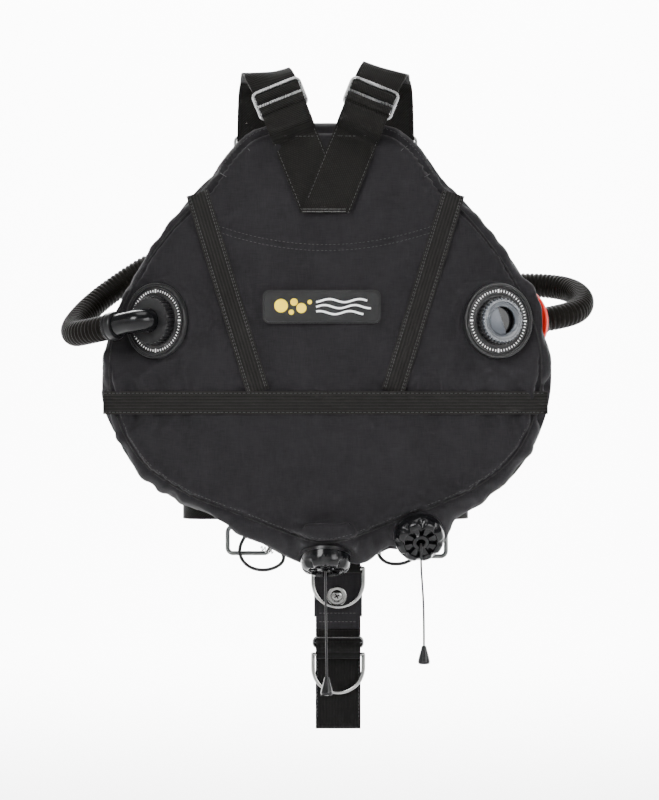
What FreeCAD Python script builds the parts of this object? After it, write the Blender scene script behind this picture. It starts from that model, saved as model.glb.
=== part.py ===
import FreeCAD, Part
import math
import os

# Sidemount buoyancy wing with its one-piece webbing harness, hanging as it is worn.
# +Z is up, +X to the right of someone looking at the outer face, and the outer face looks
# towards -Y. The origin is the top of the two shoulder loops, where the shoulders carry it.

# ---- driving sizes, mm -------------------------------------------------------------------
wing_width = 500.0
wing_height = 495.0
wing_top = -51.0          # height of the bladder shell's top edge
half_width = wing_width / 2
wing_bottom = wing_top - wing_height
wing_front_depth = 46.0   # from the rim plane to the fullest outer face
wing_back_depth = 30.0
panel_thickness = 2.0
bladder_gap = 1.5
bladder_split = 3.0       # how far behind the rim plane the two bladders meet
front_seam_depth = 20.0   # from the rim plane to the seam round the outer panel
back_seam_depth = 12.0

webbing_width = 50.0
webbing_thickness = 2.4
band_width = 25.0
band_thickness = 1.5
patch_size = (128.0, 36.0)
patch_thickness = 2.5
patch_middle = (-4.0, -258.0)
patch_corner = 7.0
lay_gap = 1.0             # between a soft strap and what it lies on

yoke_angle = 21.7         # each shoulder strap from upright, degrees
yoke_foot = -156.0        # height of the sewn lower end of the two straps
slide_height = -32.0
slide_length = 34.0
chest_slide_length = 20.0
crotch_slide_length = 14.0
strap_rear_x = 75.0       # where each shoulder strap comes down behind
slide_lift = 1.6
shoulder_rear = 66.0      # how far behind the rim plane the shoulder straps come down
cross_band_height = -362.0
diagonal_top = (138.0, -135.0)
diagonal_foot = 73.0

port_diameter = 82.0
port_rim = 6.5
port_bore = 32.0
port_neck = 46.0
port_collar = 47.0
nut_diameter = 53.0
nut_height = 10.0
groove_count = 20
left_port_inset = 68.0    # from the wing's side edge to the port centre
right_port_inset = 64.0
reserve_port_inset = 42.0
port_height = -273.0
left_port_tilt = 34.0
right_port_tilt = 23.0
reserve_port_tilt = 30.0
fit_gap = 0.3

hose_diameter = 28.0
hose_radius = hose_diameter / 2
elbow_diameter = 24.5
cuff_length = 12.0

valve_diameter = 54.0
valve_height = 21.0
pull_cord_diameter = 2.4
cord_mouth = 8.0          # the hole in the cap that the pull cord leaves through
cord_inset = 0.3          # the cord starts this far inside the cap's face
notch_count = 8
pull_travel = 10.0
knob_length = 20.0
knob_diameter = 13.4

wire = 4.5
slide_wire = 3.5
rail_wire = 5.0
bungee_diameter = 4.0
ring_width = webbing_width + 2 * wire + 1.2
ring_height = 47.0

crotch_x = 14.0
crotch_y = 36.0
crotch_top = wing_bottom + 46
crotch_middle = wing_bottom - 67
crotch_foot = wing_bottom - 179
crotch_gap = 6.0
screw_height = wing_bottom - 31
belt_height = wing_bottom + 79
belt_half = 134.0
belt_front = 88.0
belt_back = 38.0
spine_foot = wing_bottom + 106
plate_size = (130.0, 3.0, 60.0)
buckle_length = 70.0
hinge_pin = 3.0

inflator_width = 30.0
inflator_depth = 34.0
inflator_length = 86.0
button_diameter = 15.0
button_travel = 4.0
nipple_diameter = 9.4
nipple_length = 12.0

zip_x = 62.0
zip_span = (-370.0, -232.0)

# free hoses: hand-laid points from the cuff to the inflator
left_hose_points = [
    (-half_width + 2 - hose_radius, -21, -285), (-half_width - 15 - hose_radius, 7, -287),
    (-half_width - 16 - hose_radius, 41, -275),
    (-half_width - 12, 70, -252), (-half_width + 18, 85, -228), (-half_width + 52, 88, -206),
    (-half_width + 84, 84, -197), (-half_width + 109, 72, -208), (-half_width + 119, 62, -236),
    (-half_width + 119, 62, -264)]
reserve_hose_points = [
    (half_width + 4 + hose_radius, 59, -265), (half_width + 24 + hose_radius, 80, -257),
    (half_width + 29 + hose_radius, 111, -243),
    (half_width + 31, 142, -231), (half_width, 160, -226), (half_width - 37, 162, -226),
    (half_width - 72, 147, -228), (half_width - 98, 120, -236), (half_width - 113, 89, -250),
    (half_width - 119, 64, -270), (half_width - 119, 64, -294)]
right_cord_points = [
    (103.5, -43, wing_bottom + 8), (105, -40, wing_bottom - 11), (107, -38, wing_bottom - 42),
    (107, -38, wing_bottom - 80)]
centre_knob_height = wing_bottom - 114.5

V = FreeCAD.Vector
made = {}


def keep(name, shape):
    made[name] = shape


def unit(vector):
    result = V(vector)
    result.normalize()
    return result


def placed(shape, position, axis):
    turn = FreeCAD.Rotation(V(0, 0, 1), V(axis))
    shape.Placement = FreeCAD.Placement(V(position), turn)
    return shape


def joined(shapes):
    return shapes[0].multiFuse(shapes[1:]).removeSplitter()


def turned(profile):
    """A solid of revolution about Z from (radius, height) corners."""
    corners = [V(r, 0, z) for r, z in profile + profile[:1]]
    return Part.Face(Part.makePolygon(corners)).revolve(V(0, 0, 0), V(0, 0, 1), 360)


def rod(start, axis, radius, length):
    return Part.makeCylinder(radius, length, V(start), V(axis))


def arc_route(points, radius=None):
    """Straight runs joined by tangent arcs, and the smallest arc radius."""
    pts = [V(p) for p in points]
    edges, radii, last = [], [], pts[0]
    for before, here, after in zip(pts, pts[1:], pts[2:]):
        into, out = unit(here - before), unit(after - here)
        half = into.getAngle(out) / 2
        shorter = min((here - before).Length, (after - here).Length)
        r = radius or 0.45 * shorter / math.tan(half)
        cut = r * math.tan(half)
        start, end = here - into * cut, here + out * cut
        bisector = unit(out - into)
        middle = here + bisector * (r / math.cos(half) - r)
        if (start - last).Length > 1e-4:
            edges.append(Part.LineSegment(last, start).toShape())
        edges.append(Part.Arc(start, middle, end).toShape())
        radii.append(r)
        last = end
    edges.append(Part.LineSegment(last, pts[-1]).toShape())
    return Part.Wire(edges), radii


def tube(points, diameter, radius=None):
    """A round solid along straight runs and tangent arcs."""
    wire_path, radii = arc_route(points, radius)
    first = V(points[1]) - V(points[0])
    ring = Part.Wire(Part.makeCircle(diameter / 2, V(points[0]), first))
    solid = wire_path.makePipeShell([ring], True, False)
    section = math.pi * diameter ** 2 / 4
    ratio = solid.Volume / (section * wire_path.Length)
    return solid, radii, wire_path.Length, ratio


def hose(name, points, diameter):
    solid, radii, length, ratio = tube(points, diameter)
    print(name, "length", round(length, 1), "volume ratio", round(ratio, 4),
          "radii", [round(r) for r in radii])
    return solid


def ring_wire(corners, diameter, radius):
    """A closed wire ring through the corners, rounded by one radius."""
    pts = [V(p) for p in corners]
    middle = (pts[0] + pts[1]) * 0.5
    path, _ = arc_route([middle] + pts[1:] + [pts[0], middle], radius)
    section = Part.Wire(Part.makeCircle(diameter / 2, middle, pts[1] - pts[0]))
    return path.makePipeShell([section], True, False)


def ribbon(stations, width, thickness):
    """Flat webbing: each station is a centre point and the direction across the width."""
    sections = []
    centres = [V(c) for c, _ in stations]
    for i, (centre, across) in enumerate(stations):
        run = unit(centres[min(i + 1, len(centres) - 1)] - centres[max(i - 1, 0)])
        side = unit(across)
        normal = unit(run.cross(side))
        side = unit(normal.cross(run))
        side, normal = side * (width / 2), normal * (thickness / 2)
        c = V(centre)
        corners = [c - side - normal, c + side - normal, c + side + normal, c - side + normal]
        sections.append(Part.makePolygon(corners + corners[:1]))
    return Part.makeLoft(sections, True, True)


def fold(x, width, y, z, inner, length):
    """A doubled piece of webbing over a bar along X, with its two layers going up."""
    outer_radius = inner + webbing_thickness
    left = x - width / 2

    def slot(radius, reach):
        round_end = rod((left, y, z), (1, 0, 0), radius, width)
        block = Part.makeBox(width, 2 * radius, reach, V(left, y - radius, z))
        return round_end.fuse(block)

    return slot(outer_radius, length).cut(slot(inner, length + 1))


# ---- bladder shell -----------------------------------------------------------------------

half_outline = [
    (0.0, 0.0), (0.16, 0.001), (0.29, 0.007), (0.40, 0.046), (0.545, 0.139), (0.708, 0.23),
    (0.86, 0.337), (0.96, 0.442), (1.0, 0.554), (0.968, 0.669), (0.86, 0.776), (0.66, 0.859),
    (0.42, 0.92), (0.2, 0.974), (0.0, 1.0)]
depth_steps = (0, 14, 30, 46, 62)
rim_facets = 64
wing_middle = wing_top - wing_height / 2


def rim_points(inset):
    """The rim as a fine polygon through the outline's smooth curve."""
    right = [(s * (wing_width / 2 - inset), wing_top - inset - d * (wing_height - 2 * inset))
             for s, d in half_outline]
    left = [(-x, z) for x, z in reversed(right[1:-1])]
    curve = Part.BSplineCurve()
    curve.interpolate([V(x, 0, z) for x, z in right + left], PeriodicFlag=True)
    return curve.discretize(rim_facets + 1)[:-1]


def pillow(inset):
    """A filled cushion of flat facets: the rim polygon, scaled and moved at each step."""
    rows = []
    for side, depth in ((-1, wing_front_depth), (1, wing_back_depth)):
        half = []
        for angle in depth_steps:
            scale = math.cos(math.radians(angle)) ** (2 / 3)
            half.append((scale, side * (depth - inset) * math.sin(math.radians(angle)) ** (2 / 3)))
        rows += list(reversed(half)) if side < 0 else half[1:]
    rim = rim_points(inset)
    rings = [[V(p.x * scale, y, wing_middle + (p.z - wing_middle) * scale) for p in rim]
             for scale, y in rows]
    faces = [Part.Face(Part.makePolygon(ring + ring[:1])) for ring in (rings[0], rings[-1])]
    for near, far in zip(rings, rings[1:]):
        for i in range(len(rim)):
            j = (i + 1) % len(rim)
            corners = [near[i], near[j], far[j], far[i], near[i]]
            faces.append(Part.Face(Part.makePolygon(corners)))
    solid = Part.Solid(Part.Shell(faces))
    return solid if solid.Volume > 0 else solid.reversed()


def tilted(degrees, side, facing):
    angle = math.radians(degrees)
    return V(side * math.sin(angle), facing * math.cos(angle), 0)


left_axis = tilted(left_port_tilt, -1, -1)
right_axis = tilted(right_port_tilt, 1, -1)
reserve_axis = tilted(reserve_port_tilt, 1, 1)
left_seat = V(-half_width + left_port_inset, -36, port_height)
right_seat = V(half_width - right_port_inset, -37, port_height)
reserve_seat = V(half_width - reserve_port_inset, 26, port_height)
centre_axis = unit(V(0, -0.36, -0.93))
right_valve_axis = unit(V(0.12, -0.86, -0.5))
centre_seat = V(0, -24, wing_bottom + 20)
right_valve_seat = V(101, -29, wing_bottom + 42)
port_radius = port_diameter / 2
valve_radius = valve_diameter / 2
seats = [
    (left_seat, left_axis, port_radius, port_neck / 2, 30),
    (right_seat, right_axis, port_radius, port_neck / 2, 24),
    (reserve_seat, reserve_axis, port_radius, port_neck / 2, 22),
    (centre_seat, centre_axis, valve_radius, 15, 20),
    (right_valve_seat, right_valve_axis, valve_radius, 15, 20)]


def wing_volume(inset):
    """The filled shell with a raised, flat-topped seat for each port and valve."""
    cones, pockets = [], []
    for seat, axis, radius, _, depth in seats:
        foot = seat - axis * (depth + inset)
        cones.append(Part.makeCone(radius + 16 - inset, radius + 3 - inset, depth, foot, axis))
        pockets.append(rod(seat - axis * inset, axis, radius + 1 + inset, 60))
    return pillow(inset).multiFuse(cones).cut(pockets)


def necks(extra, depth):
    return [rod(seat - axis * depth, axis, neck + extra, depth + 4)
            for seat, axis, _, neck, _ in seats]


def slab(low, high):
    return Part.makeBox(2 * wing_width, high - low, 2 * wing_height,
                        V(-wing_width, low, wing_bottom - wing_height / 2))


def make_wing():
    shell = wing_volume(0).cut([wing_volume(panel_thickness)] + necks(fit_gap, 20))
    far = 200
    for name, low, high in (("wing_outer_panel", -far, -front_seam_depth),
                            ("wing_gusset", -front_seam_depth, back_seam_depth)):
        pieces = shell.common(slab(low, high)).Solids
        keep(name, max(pieces, key=lambda piece: piece.Volume))
    keep("wing_inner_panel", shell.common(slab(back_seam_depth, far)))
    inside = pillow(panel_thickness + bladder_gap)
    clear = panel_thickness + bladder_gap
    pockets = [rod(seat - axis * clear, axis, radius + 1 + clear, 60)
               for seat, axis, radius, _, _ in seats]
    inside = inside.cut(necks(fit_gap + 1, 40) + pockets)
    keep("main_bladder", inside.common(slab(-far, bladder_split - bladder_gap / 2)))
    keep("reserve_bladder", inside.common(slab(bladder_split + bladder_gap / 2, far)))


def rim_table():
    """The outline's distance from the wing's middle, at each direction."""
    return [(math.atan2(p.z - wing_middle, p.x), math.hypot(p.x, p.z - wing_middle))
            for p in rim_points(0)]


rim_distances = rim_table()


def front_y(x, z):
    """The outer face's depth at one place, from the same curve as the shell's sections."""
    angle = math.atan2(z - wing_middle, x)
    _, rim = min(rim_distances, key=lambda row: abs(row[0] - angle))
    share = math.hypot(x, z - wing_middle) / rim
    flat = math.sin(math.radians(depth_steps[-1])) ** (2 / 3)
    if share >= 1:
        return 0.0
    return -wing_front_depth * min(flat, (1 - share ** 3) ** (1 / 3))


def surface_ribbon(start, end, width, thickness, steps):
    first, last = V(start[0], 0, start[1]), V(end[0], 0, end[1])
    run = unit(last - first)
    across = V(0, 1, 0).cross(run)
    stations = []
    for i in range(steps + 1):
        c = first + (last - first) * (i / steps)
        edges = [c + across * (width * k) for k in (-0.5, 0.0, 0.5)]
        y = min(front_y(p.x, p.z) for p in edges) - lay_gap - thickness / 2
        stations.append(((c.x, y, c.z), across))
    return ribbon(stations, width, thickness)


def make_bands():
    edge = half_width - 9
    band = surface_ribbon((-edge, cross_band_height), (edge, cross_band_height),
                          band_width, band_thickness, 22)
    keep("cross_band", band)
    foot = cross_band_height + band_width / 2 + 5
    sides = []
    for side in (-1, 1):
        sides.append(surface_ribbon((side * diagonal_top[0], diagonal_top[1]),
                                    (side * diagonal_foot, foot),
                                    band_width, band_thickness, 10))
    keep("diagonal_bands", Part.makeCompound(sides))
    (length, tall), (x, z) = patch_size, patch_middle
    y = front_y(0, z) - lay_gap - patch_thickness
    patch = Part.makeBox(length, patch_thickness, tall, V(x - length / 2, y, z - tall / 2))
    upright = [e for e in patch.Edges if abs(e.Vertexes[0].Y - e.Vertexes[-1].Y) > 2]
    keep("rubber_patch", patch.makeFillet(patch_corner, upright))


# ---- harness webbing ---------------------------------------------------------------------

def make_yoke_straps():
    angle = math.radians(yoke_angle)
    slide_depth = {}
    for side, name, lift in ((-1, "left", lay_gap), (1, "right", lay_gap + webbing_thickness + slide_lift)):
        across = V(math.cos(angle), 0, -side * math.sin(angle))
        stations = []
        for z in (yoke_foot, -135, -115, -95, -78):
            x = side * (z - yoke_foot) * math.tan(angle)
            reach = [front_y(x + across.x * k, z + across.z * k) for k in (-25, -12, 0, 12, 25)]
            stations.append([x, min(reach) - lift - webbing_thickness / 2, z])
        for i in range(len(stations) - 2, -1, -1):
            stations[i][1] = min(stations[i][1], stations[i + 1][1])
        leave = stations[-1]
        top_z = slide_height + 1
        x = side * (top_z - yoke_foot) * math.tan(angle)
        stations.append([x, leave[1], top_z])
        keep(name + "_yoke_strap",
             ribbon([(s, across) for s in stations], webbing_width, webbing_thickness))
        slide_depth[side] = leave[1]
    return slide_depth


def make_shoulder_straps(slide_depth):
    angle = math.radians(yoke_angle)
    for side, name in ((-1, "left"), (1, "right")):
        y = slide_depth[side]
        start_z = slide_height + 6
        x = side * (start_z - yoke_foot) * math.tan(angle)
        tilt = V(math.cos(angle), 0, -side * math.sin(angle))
        flat = V(1, 0, -side * 0.06)
        low = side * (strap_rear_x + 7)
        stations = [
            ((x, y, start_z), tilt), ((side * 59, y + 8, -14), V(1, 0, -side * 0.25)),
            ((side * 66, y + 20, -4), flat), ((side * 69, y + 36, -webbing_thickness / 2), flat),
            ((side * (strap_rear_x - 4), shoulder_rear - 14, -6), flat),
            ((side * (strap_rear_x - 2), shoulder_rear - 4, -18), V(1, 0, 0)),
            ((side * (strap_rear_x - 1), shoulder_rear, -40), V(1, 0, 0)),
            ((side * strap_rear_x, shoulder_rear, -90), V(1, 0, 0)),
            ((side * (strap_rear_x + 2), shoulder_rear + 2, belt_height + 267), V(1, 0, 0)),
            ((side * (strap_rear_x + 5), shoulder_rear + 10, belt_height + 147), V(1, 0, 0)),
            ((low, belt_front - 1, belt_height + webbing_width / 2 + 3), V(1, 0, 0))]
        keep(name + "_shoulder_strap", ribbon(stations, webbing_width, webbing_thickness))


def tri_glide(width, height, bar):
    """A flat wire slide with a centre bar, lying in the XZ plane about the origin."""
    w, h = width / 2 - bar / 2, height / 2 - bar / 2
    corners = [(-w, 0, h), (w, 0, h), (w, 0, -h), (-w, 0, -h)]
    frame = ring_wire(corners, bar, min(bar * 1.6, h * 0.8))
    centre = rod((-w, 0, 0), (1, 0, 0), bar / 2 - 0.15, 2 * w)
    return frame.fuse(centre)


def make_slides(slide_depth):
    slides = []
    for side in (-1, 1):
        slide = tri_glide(webbing_width + 2 * slide_wire, slide_length, slide_wire)
        x = side * (slide_height - yoke_foot) * math.tan(math.radians(yoke_angle))
        turn = FreeCAD.Rotation(V(0, 1, 0), side * yoke_angle)
        y = slide_depth[side] - webbing_thickness / 2 - slide_wire / 2 - slide_lift
        slide.Placement = FreeCAD.Placement(V(x, y, slide_height), turn)
        slides.append(slide)
    keep("shoulder_slides", Part.makeCompound(slides))
    chest = []
    for side in (-1, 1):
        slide = tri_glide(webbing_width + 2 * slide_wire, chest_slide_length, slide_wire)
        y = shoulder_rear + webbing_thickness / 2 + slide_wire / 2 + fit_gap
        slide.Placement = FreeCAD.Placement(V(side * strap_rear_x, y, chest_slide_height),
                                            FreeCAD.Rotation())
        chest.append(slide)
    keep("chest_slides", Part.makeCompound(chest))


def d_ring(x, y, z):
    """A D-ring that hangs from its straight bar, whose middle is at the given place."""
    w = ring_width / 2 - wire / 2
    h = ring_height - wire
    points = [V(x, y, z), V(x + w, y, z), V(x + w, y, z - h), V(x - w, y, z - h), V(x - w, y, z)]
    bar = rod(points[4], (1, 0, 0), wire / 2, 2 * w)
    path_edges = []
    drop = h - w
    left, right = V(x - w, y, z - drop), V(x + w, y, z - drop)
    path_edges.append(Part.LineSegment(V(x - w, y, z), left).toShape())
    path_edges.append(Part.Arc(left, V(x, y, z - h), right).toShape())
    path_edges.append(Part.LineSegment(right, V(x + w, y, z)).toShape())
    section = Part.Wire(Part.makeCircle(wire / 2, V(x - w, y, z), V(0, 0, -1)))
    bow = Part.Wire(path_edges).makePipeShell([section], True, False)
    corners = [Part.makeSphere(wire / 2, p) for p in (points[1], points[4])]
    return joined([bow, bar] + corners)


keeper_inner = wire / 2 + fit_gap
keeper_width = webbing_width - 1
chest_slide_height = -71.0
chest_ring_height = -90.0
upper_ring_height = wing_bottom
lower_ring_height = wing_bottom - 95
chest_ring_y = shoulder_rear + webbing_thickness / 2 + keeper_inner + webbing_thickness + fit_gap
front_ring_y = crotch_y - crotch_gap / 2 - keeper_inner - 2 * webbing_thickness - fit_gap


def make_rings():
    keep("left_chest_ring", d_ring(-strap_rear_x, chest_ring_y, chest_ring_height))
    keep("right_chest_ring", d_ring(strap_rear_x, chest_ring_y, chest_ring_height))
    keep("upper_crotch_ring", d_ring(crotch_x, front_ring_y, upper_ring_height))
    keep("lower_crotch_ring", d_ring(crotch_x, front_ring_y, lower_ring_height))
    keepers = [fold(-strap_rear_x, keeper_width, chest_ring_y, chest_ring_height, keeper_inner, 7),
               fold(strap_rear_x, keeper_width, chest_ring_y, chest_ring_height, keeper_inner, 7),
               fold(crotch_x, keeper_width, front_ring_y, upper_ring_height, keeper_inner, 18),
               fold(crotch_x, keeper_width, front_ring_y, lower_ring_height, keeper_inner, 5)]
    return keepers


def make_back():
    y = wing_back_depth + lay_gap
    spine = Part.makeBox(webbing_width, webbing_thickness, yoke_foot - spine_foot,
                         V(-webbing_width / 2, y, spine_foot))
    keep("spine_strap", spine)
    length, thick, tall = plate_size
    plate = Part.makeBox(length, thick, tall, V(-length / 2, y + fit_gap, spine_foot - 2 - tall))
    edges = [e for e in plate.Edges if abs(e.Vertexes[0].Y - e.Vertexes[-1].Y) > 2]
    plate = plate.makeFillet(9, edges)
    for x in (15 - length / 2, 0, length / 2 - 15):
        plate = plate.cut(rod((x, y - 1, belt_height - 5), (0, 1, 0), 4, 8))
    keep("lumbar_plate", plate)


def make_waist():
    """One belt loop: across the back, round both sides and across the front."""
    half_web = webbing_width / 2
    radius = (belt_front - belt_back) / 2
    mid = (belt_front + belt_back) / 2

    def loop(extra):
        body = Part.makeBox(2 * belt_half, 2 * (radius + extra), webbing_width,
                            V(-belt_half, mid - radius - extra, belt_height - half_web))
        ends = [rod((side * belt_half, mid, belt_height - half_web), (0, 0, 1),
                    radius + extra, webbing_width) for side in (-1, 1)]
        return body.fuse(ends[0]).fuse(ends[1])

    keep("waist_belt", loop(webbing_thickness / 2).cut(loop(-webbing_thickness / 2)))
    y = belt_front + webbing_thickness / 2
    window_half = half_web + 1
    low, high = belt_height - window_half, belt_height + window_half
    frame = Part.makeBox(buckle_length, 2, 2 * window_half + 10,
                         V(-buckle_length / 2, y, low - 5))
    for x, span in ((4, 22), (-29, 14)):
        frame = frame.cut(Part.makeBox(span, 4, 2 * window_half, V(x, y - 1, low)))
    pin_x, pin_y = buckle_length / 2 - 4, y + 5.2
    for z in (low - 5, high):
        frame = frame.fuse(rod((pin_x, pin_y, z), (0, 0, 1), 3, 5))
        frame = frame.fuse(Part.makeBox(6, pin_y - y, 5, V(pin_x - 3, y, z)))
    pin = rod((pin_x, pin_y, low - 5), (0, 0, 1), hinge_pin / 2, 2 * window_half + 10)
    keep("buckle_frame", frame.fuse(pin))
    tall = webbing_width - 2
    foot = belt_height - tall / 2
    flap = Part.makeBox(2 * pin_x, 2, tall, V(-pin_x, pin_y + 1, foot))
    barrel = rod((pin_x, pin_y, foot), (0, 0, 1), 3, tall)
    bore = rod((pin_x, pin_y, foot - 1), (0, 0, 1), hinge_pin / 2 + 0.05, tall + 2)
    keep("buckle_flap", flap.fuse(barrel).cut(bore))


def make_crotch_strap():
    """The upper doubled stretch, the middle single one and the end loop."""
    left = crotch_x - webbing_width / 2
    t = webbing_thickness
    back = Part.makeBox(webbing_width, t, crotch_top - crotch_middle + 20,
                        V(left, crotch_y - t / 2, crotch_middle - 20))
    front = Part.makeBox(webbing_width, t, 56, V(left, crotch_y - 1.5 * t - 0.2, crotch_middle + 14))
    keep("crotch_strap", Part.makeCompound([back, front]))
    low_end = crotch_foot + crotch_gap / 2 + t
    loop = fold(crotch_x, webbing_width, crotch_y, low_end, crotch_gap / 2,
                crotch_middle - 20 - low_end - 0.6)
    keep("crotch_end_loop", loop)
    slide = tri_glide(webbing_width + 2 * slide_wire, crotch_slide_length, slide_wire)
    y = crotch_y - crotch_gap / 2 - t - slide_wire / 2 - fit_gap
    slide.Placement = FreeCAD.Placement(V(crotch_x, y, crotch_middle - 15), FreeCAD.Rotation())
    keep("crotch_slide", slide)
    screw_y = crotch_y - 2 * t - 0.2
    head = turned([(0, 0), (11, 0), (11, 1.2), (6.5, 1.2), (6.5, 2.2), (0, 2.2)])
    keep("book_screw", placed(head, (crotch_x - 1.5, screw_y - 0.1, screw_height), (0, -1, 0)))


# ---- ports, elbows and hoses ---------------------------------------------------------------

def port_flange():
    bore, neck, rim = port_bore / 2, port_neck / 2, port_radius
    collar = port_collar / 2
    return turned([(bore, -7), (neck, -7), (neck, 0), (rim, 0), (rim, port_rim - 1),
                   (rim - 1, port_rim), (rim - 4, port_rim), (rim - 5, 4), (collar + 5, 4),
                   (collar + 4, 5.5), (collar, 5.5), (collar, 11), (bore, 11)])


def port_nut(opening):
    collar, outer = port_collar / 2 + 0.2, nut_diameter / 2
    top_z = 6 + nut_height
    ring = turned([(collar, 6), (outer, 6), (outer, top_z - 1.2), (outer - 1.2, top_z),
                   (opening, top_z), (opening, top_z - 3), (collar, top_z - 3)])
    for i in range(groove_count):
        angle = math.radians(i * 360 / groove_count)
        groove = rod((math.cos(angle) * (outer + 1.2), math.sin(angle) * (outer + 1.2), 5),
                     (0, 0, 1), 2.0, nut_height + 3)
        ring = ring.cut(groove)
    return ring


def elbow(seat, axis, rise, reach, aim):
    """A foot held by the nut, a bent tube, the cuff, and the place where the hose starts."""
    base, knee = seat + axis * 11.3, seat + axis * rise
    out = unit(V(aim) - knee)
    end = knee + out * reach
    bend = (rise - 18.0) / math.tan(axis.getAngle(out) / 2)
    body, _, _, _ = tube([base, knee, end], elbow_diameter, bend)
    foot = rod(base, axis, port_bore / 2 + 3, 1.4)
    cuff = rod(end, out, hose_radius + 1.5, cuff_length)
    return body.fuse(foot), cuff, end + out * cuff_length


def make_ports():
    for name, seat, axis in (("left", left_seat, left_axis), ("right", right_seat, right_axis),
                             ("reserve", reserve_seat, reserve_axis)):
        keep(name + "_port_flange", placed(port_flange(), seat, axis))
    opening = elbow_diameter / 2 + fit_gap
    keep("left_port_nut", placed(port_nut(opening), left_seat, left_axis))
    keep("reserve_port_nut", placed(port_nut(opening), reserve_seat, reserve_axis))
    keep("right_port_nut", placed(port_nut(15), right_seat, right_axis))
    plug_radius = port_bore / 2 - 1.3
    plug = turned([(0, 5.5), (plug_radius, 5.5), (plug_radius, 12.5), (0, 12.5)])
    recess = Part.makeBox(30, 60, 20, V(1, -30, 8.5))
    rim = turned([(plug_radius - 1.5, 5.5), (plug_radius, 5.5), (plug_radius, 12.5),
                  (plug_radius - 1.5, 12.5)])
    keep("right_port_plug", placed(plug.cut(recess).fuse(rim), right_seat, right_axis))
    cuffs = []
    for name, seat, axis, rise, reach, points in (
            ("left", left_seat, left_axis, 17 + hose_radius, 32.0, left_hose_points),
            ("reserve", reserve_seat, reserve_axis, 10 + hose_radius, 15.0, reserve_hose_points)):
        body, cuff, start = elbow(seat, axis, rise, reach, points[0])
        keep(name + "_elbow", body)
        cuffs.append(cuff)
        print(name, "hose starts at", [round(c, 1) for c in start])
        keep(name + "_hose", hose(name + " hose", [tuple(start)] + points, hose_diameter))
    keep("hose_cuffs", Part.makeCompound(cuffs))


def make_inflator(name, points, side):
    """An oral inflator on the hose's end: body, two buttons, a mouthpiece and a nipple."""
    place = FreeCAD.Placement(V(points[-1]), FreeCAD.Rotation())
    body = Part.makeBox(inflator_width, inflator_depth, inflator_length,
                        V(-inflator_width / 2, -inflator_depth / 2, -inflator_length))
    body = body.makeFillet(7, [e for e in body.Edges
                               if abs(e.Vertexes[0].Z - e.Vertexes[-1].Z) > 20])
    nipple = rod((0, 0, -inflator_length - nipple_length), (0, 0, 1), nipple_diameter / 2,
                 nipple_length)
    spots = {"inflate": -22.0, "exhaust": -64.0}
    face = inflator_depth / 2
    wells = [rod((0, face - 7, z), (0, 1, 0), button_diameter / 2 + fit_gap, 8)
             for z in spots.values()]
    body = body.cut(wells[0]).cut(wells[1]).fuse(nipple)
    body.Placement = place
    keep(name + "_inflator_body", body)
    for spot, z in spots.items():
        button = rod((0, face - 7 + button_travel + 0.6, z), (0, 1, 0), button_diameter / 2, 8)
        button.Placement = place
        keep(name + "_" + spot + "_button", button)
    spout = turned([(8, 0), (10.5, 0), (9, 16), (15, 24), (15, 27), (11, 27), (7, 18)])
    mouth = V(points[-1]) + V(side * inflator_width / 2, 0, -66)
    return placed(spout, mouth, (side, 0, 0))


# ---- pull-dump valves ----------------------------------------------------------------------

def valve_base():
    r = valve_radius
    return turned([(10, -5), (15, -5), (15, 0), (r, 0), (r, 3.5), (r - 4, 3.5), (r - 4, 8),
                   (r - 7, 8), (r - 7, 3), (10, 3)])


def valve_cap():
    r = valve_radius
    height = valve_height
    mouth = cord_mouth / 2
    cap = turned([(r - 3.7, 3.8), (r, 3.8), (r - 1.5, height - 5), (r - 5, height - 1.5),
                  (r - 8, height), (mouth, height), (mouth, height - 3), (r - 8, height - 3),
                  (r - 6, height - 5), (r - 3.7, 9)])
    for i in range(notch_count):
        angle = math.radians((i + 0.5) * 360 / notch_count)
        notch = Part.makeSphere(5.2, V(math.cos(angle) * (r + 2.4), math.sin(angle) * (r + 2.4),
                                       height - 4))
        cap = cap.cut(notch)
    for i in range(notch_count):
        angle = math.radians(i * 360 / notch_count)
        cap = cap.cut(rod((math.cos(angle) * 11.5, math.sin(angle) * 11.5, height - 4),
                          (0, 0, 1), 2.2, 6))
    return cap


def valve_disc():
    return turned([(0, 3.4), (14.5, 3.4), (14.5, 5.4), (4, 5.4), (4, 7.5), (0, 7.5)])


def pull_knob(x, y, z):
    r = knob_diameter / 2
    return turned([(0, 0), (2.5, 0), (3.4, -4), (5.6, -12), (r, -17), (r - 0.6, -19.3),
                   (r - 2.5, -knob_length), (0, -knob_length)]).translated(V(x, y, z))


def make_valves():
    bases, caps = [], []
    for name, seat, axis in (("centre", centre_seat, centre_axis),
                             ("right", right_valve_seat, right_valve_axis)):
        bases.append(placed(valve_base(), seat, axis))
        caps.append(placed(valve_cap(), seat, axis))
        keep(name + "_valve_disc", placed(valve_disc(), seat, axis))
    keep("valve_bases", Part.makeCompound(bases))
    keep("valve_caps", Part.makeCompound(caps))
    outlet = centre_seat + centre_axis * (valve_height - cord_inset)
    foot = V(outlet.x + 1.5, outlet.y, centre_knob_height)
    keep("centre_pull_cord", rod(outlet, foot - outlet, pull_cord_diameter / 2,
                                 (foot - outlet).Length))
    keep("centre_pull_knob", pull_knob(foot.x, foot.y, foot.z))
    face = right_valve_seat + right_valve_axis * (valve_height - cord_inset)
    route = [tuple(face)] + right_cord_points
    keep("right_pull_cord", hose("right pull cord", route, pull_cord_diameter))
    keep("right_pull_knob", pull_knob(*route[-1]))


# ---- lower fittings ------------------------------------------------------------------------

rail_y = 37.0
left_rail_box = (-109.0, -62.0, crotch_top, wing_bottom + 16.5)
right_rail_box = (88.0, 134.0, crotch_top, wing_bottom + 13)


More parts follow.
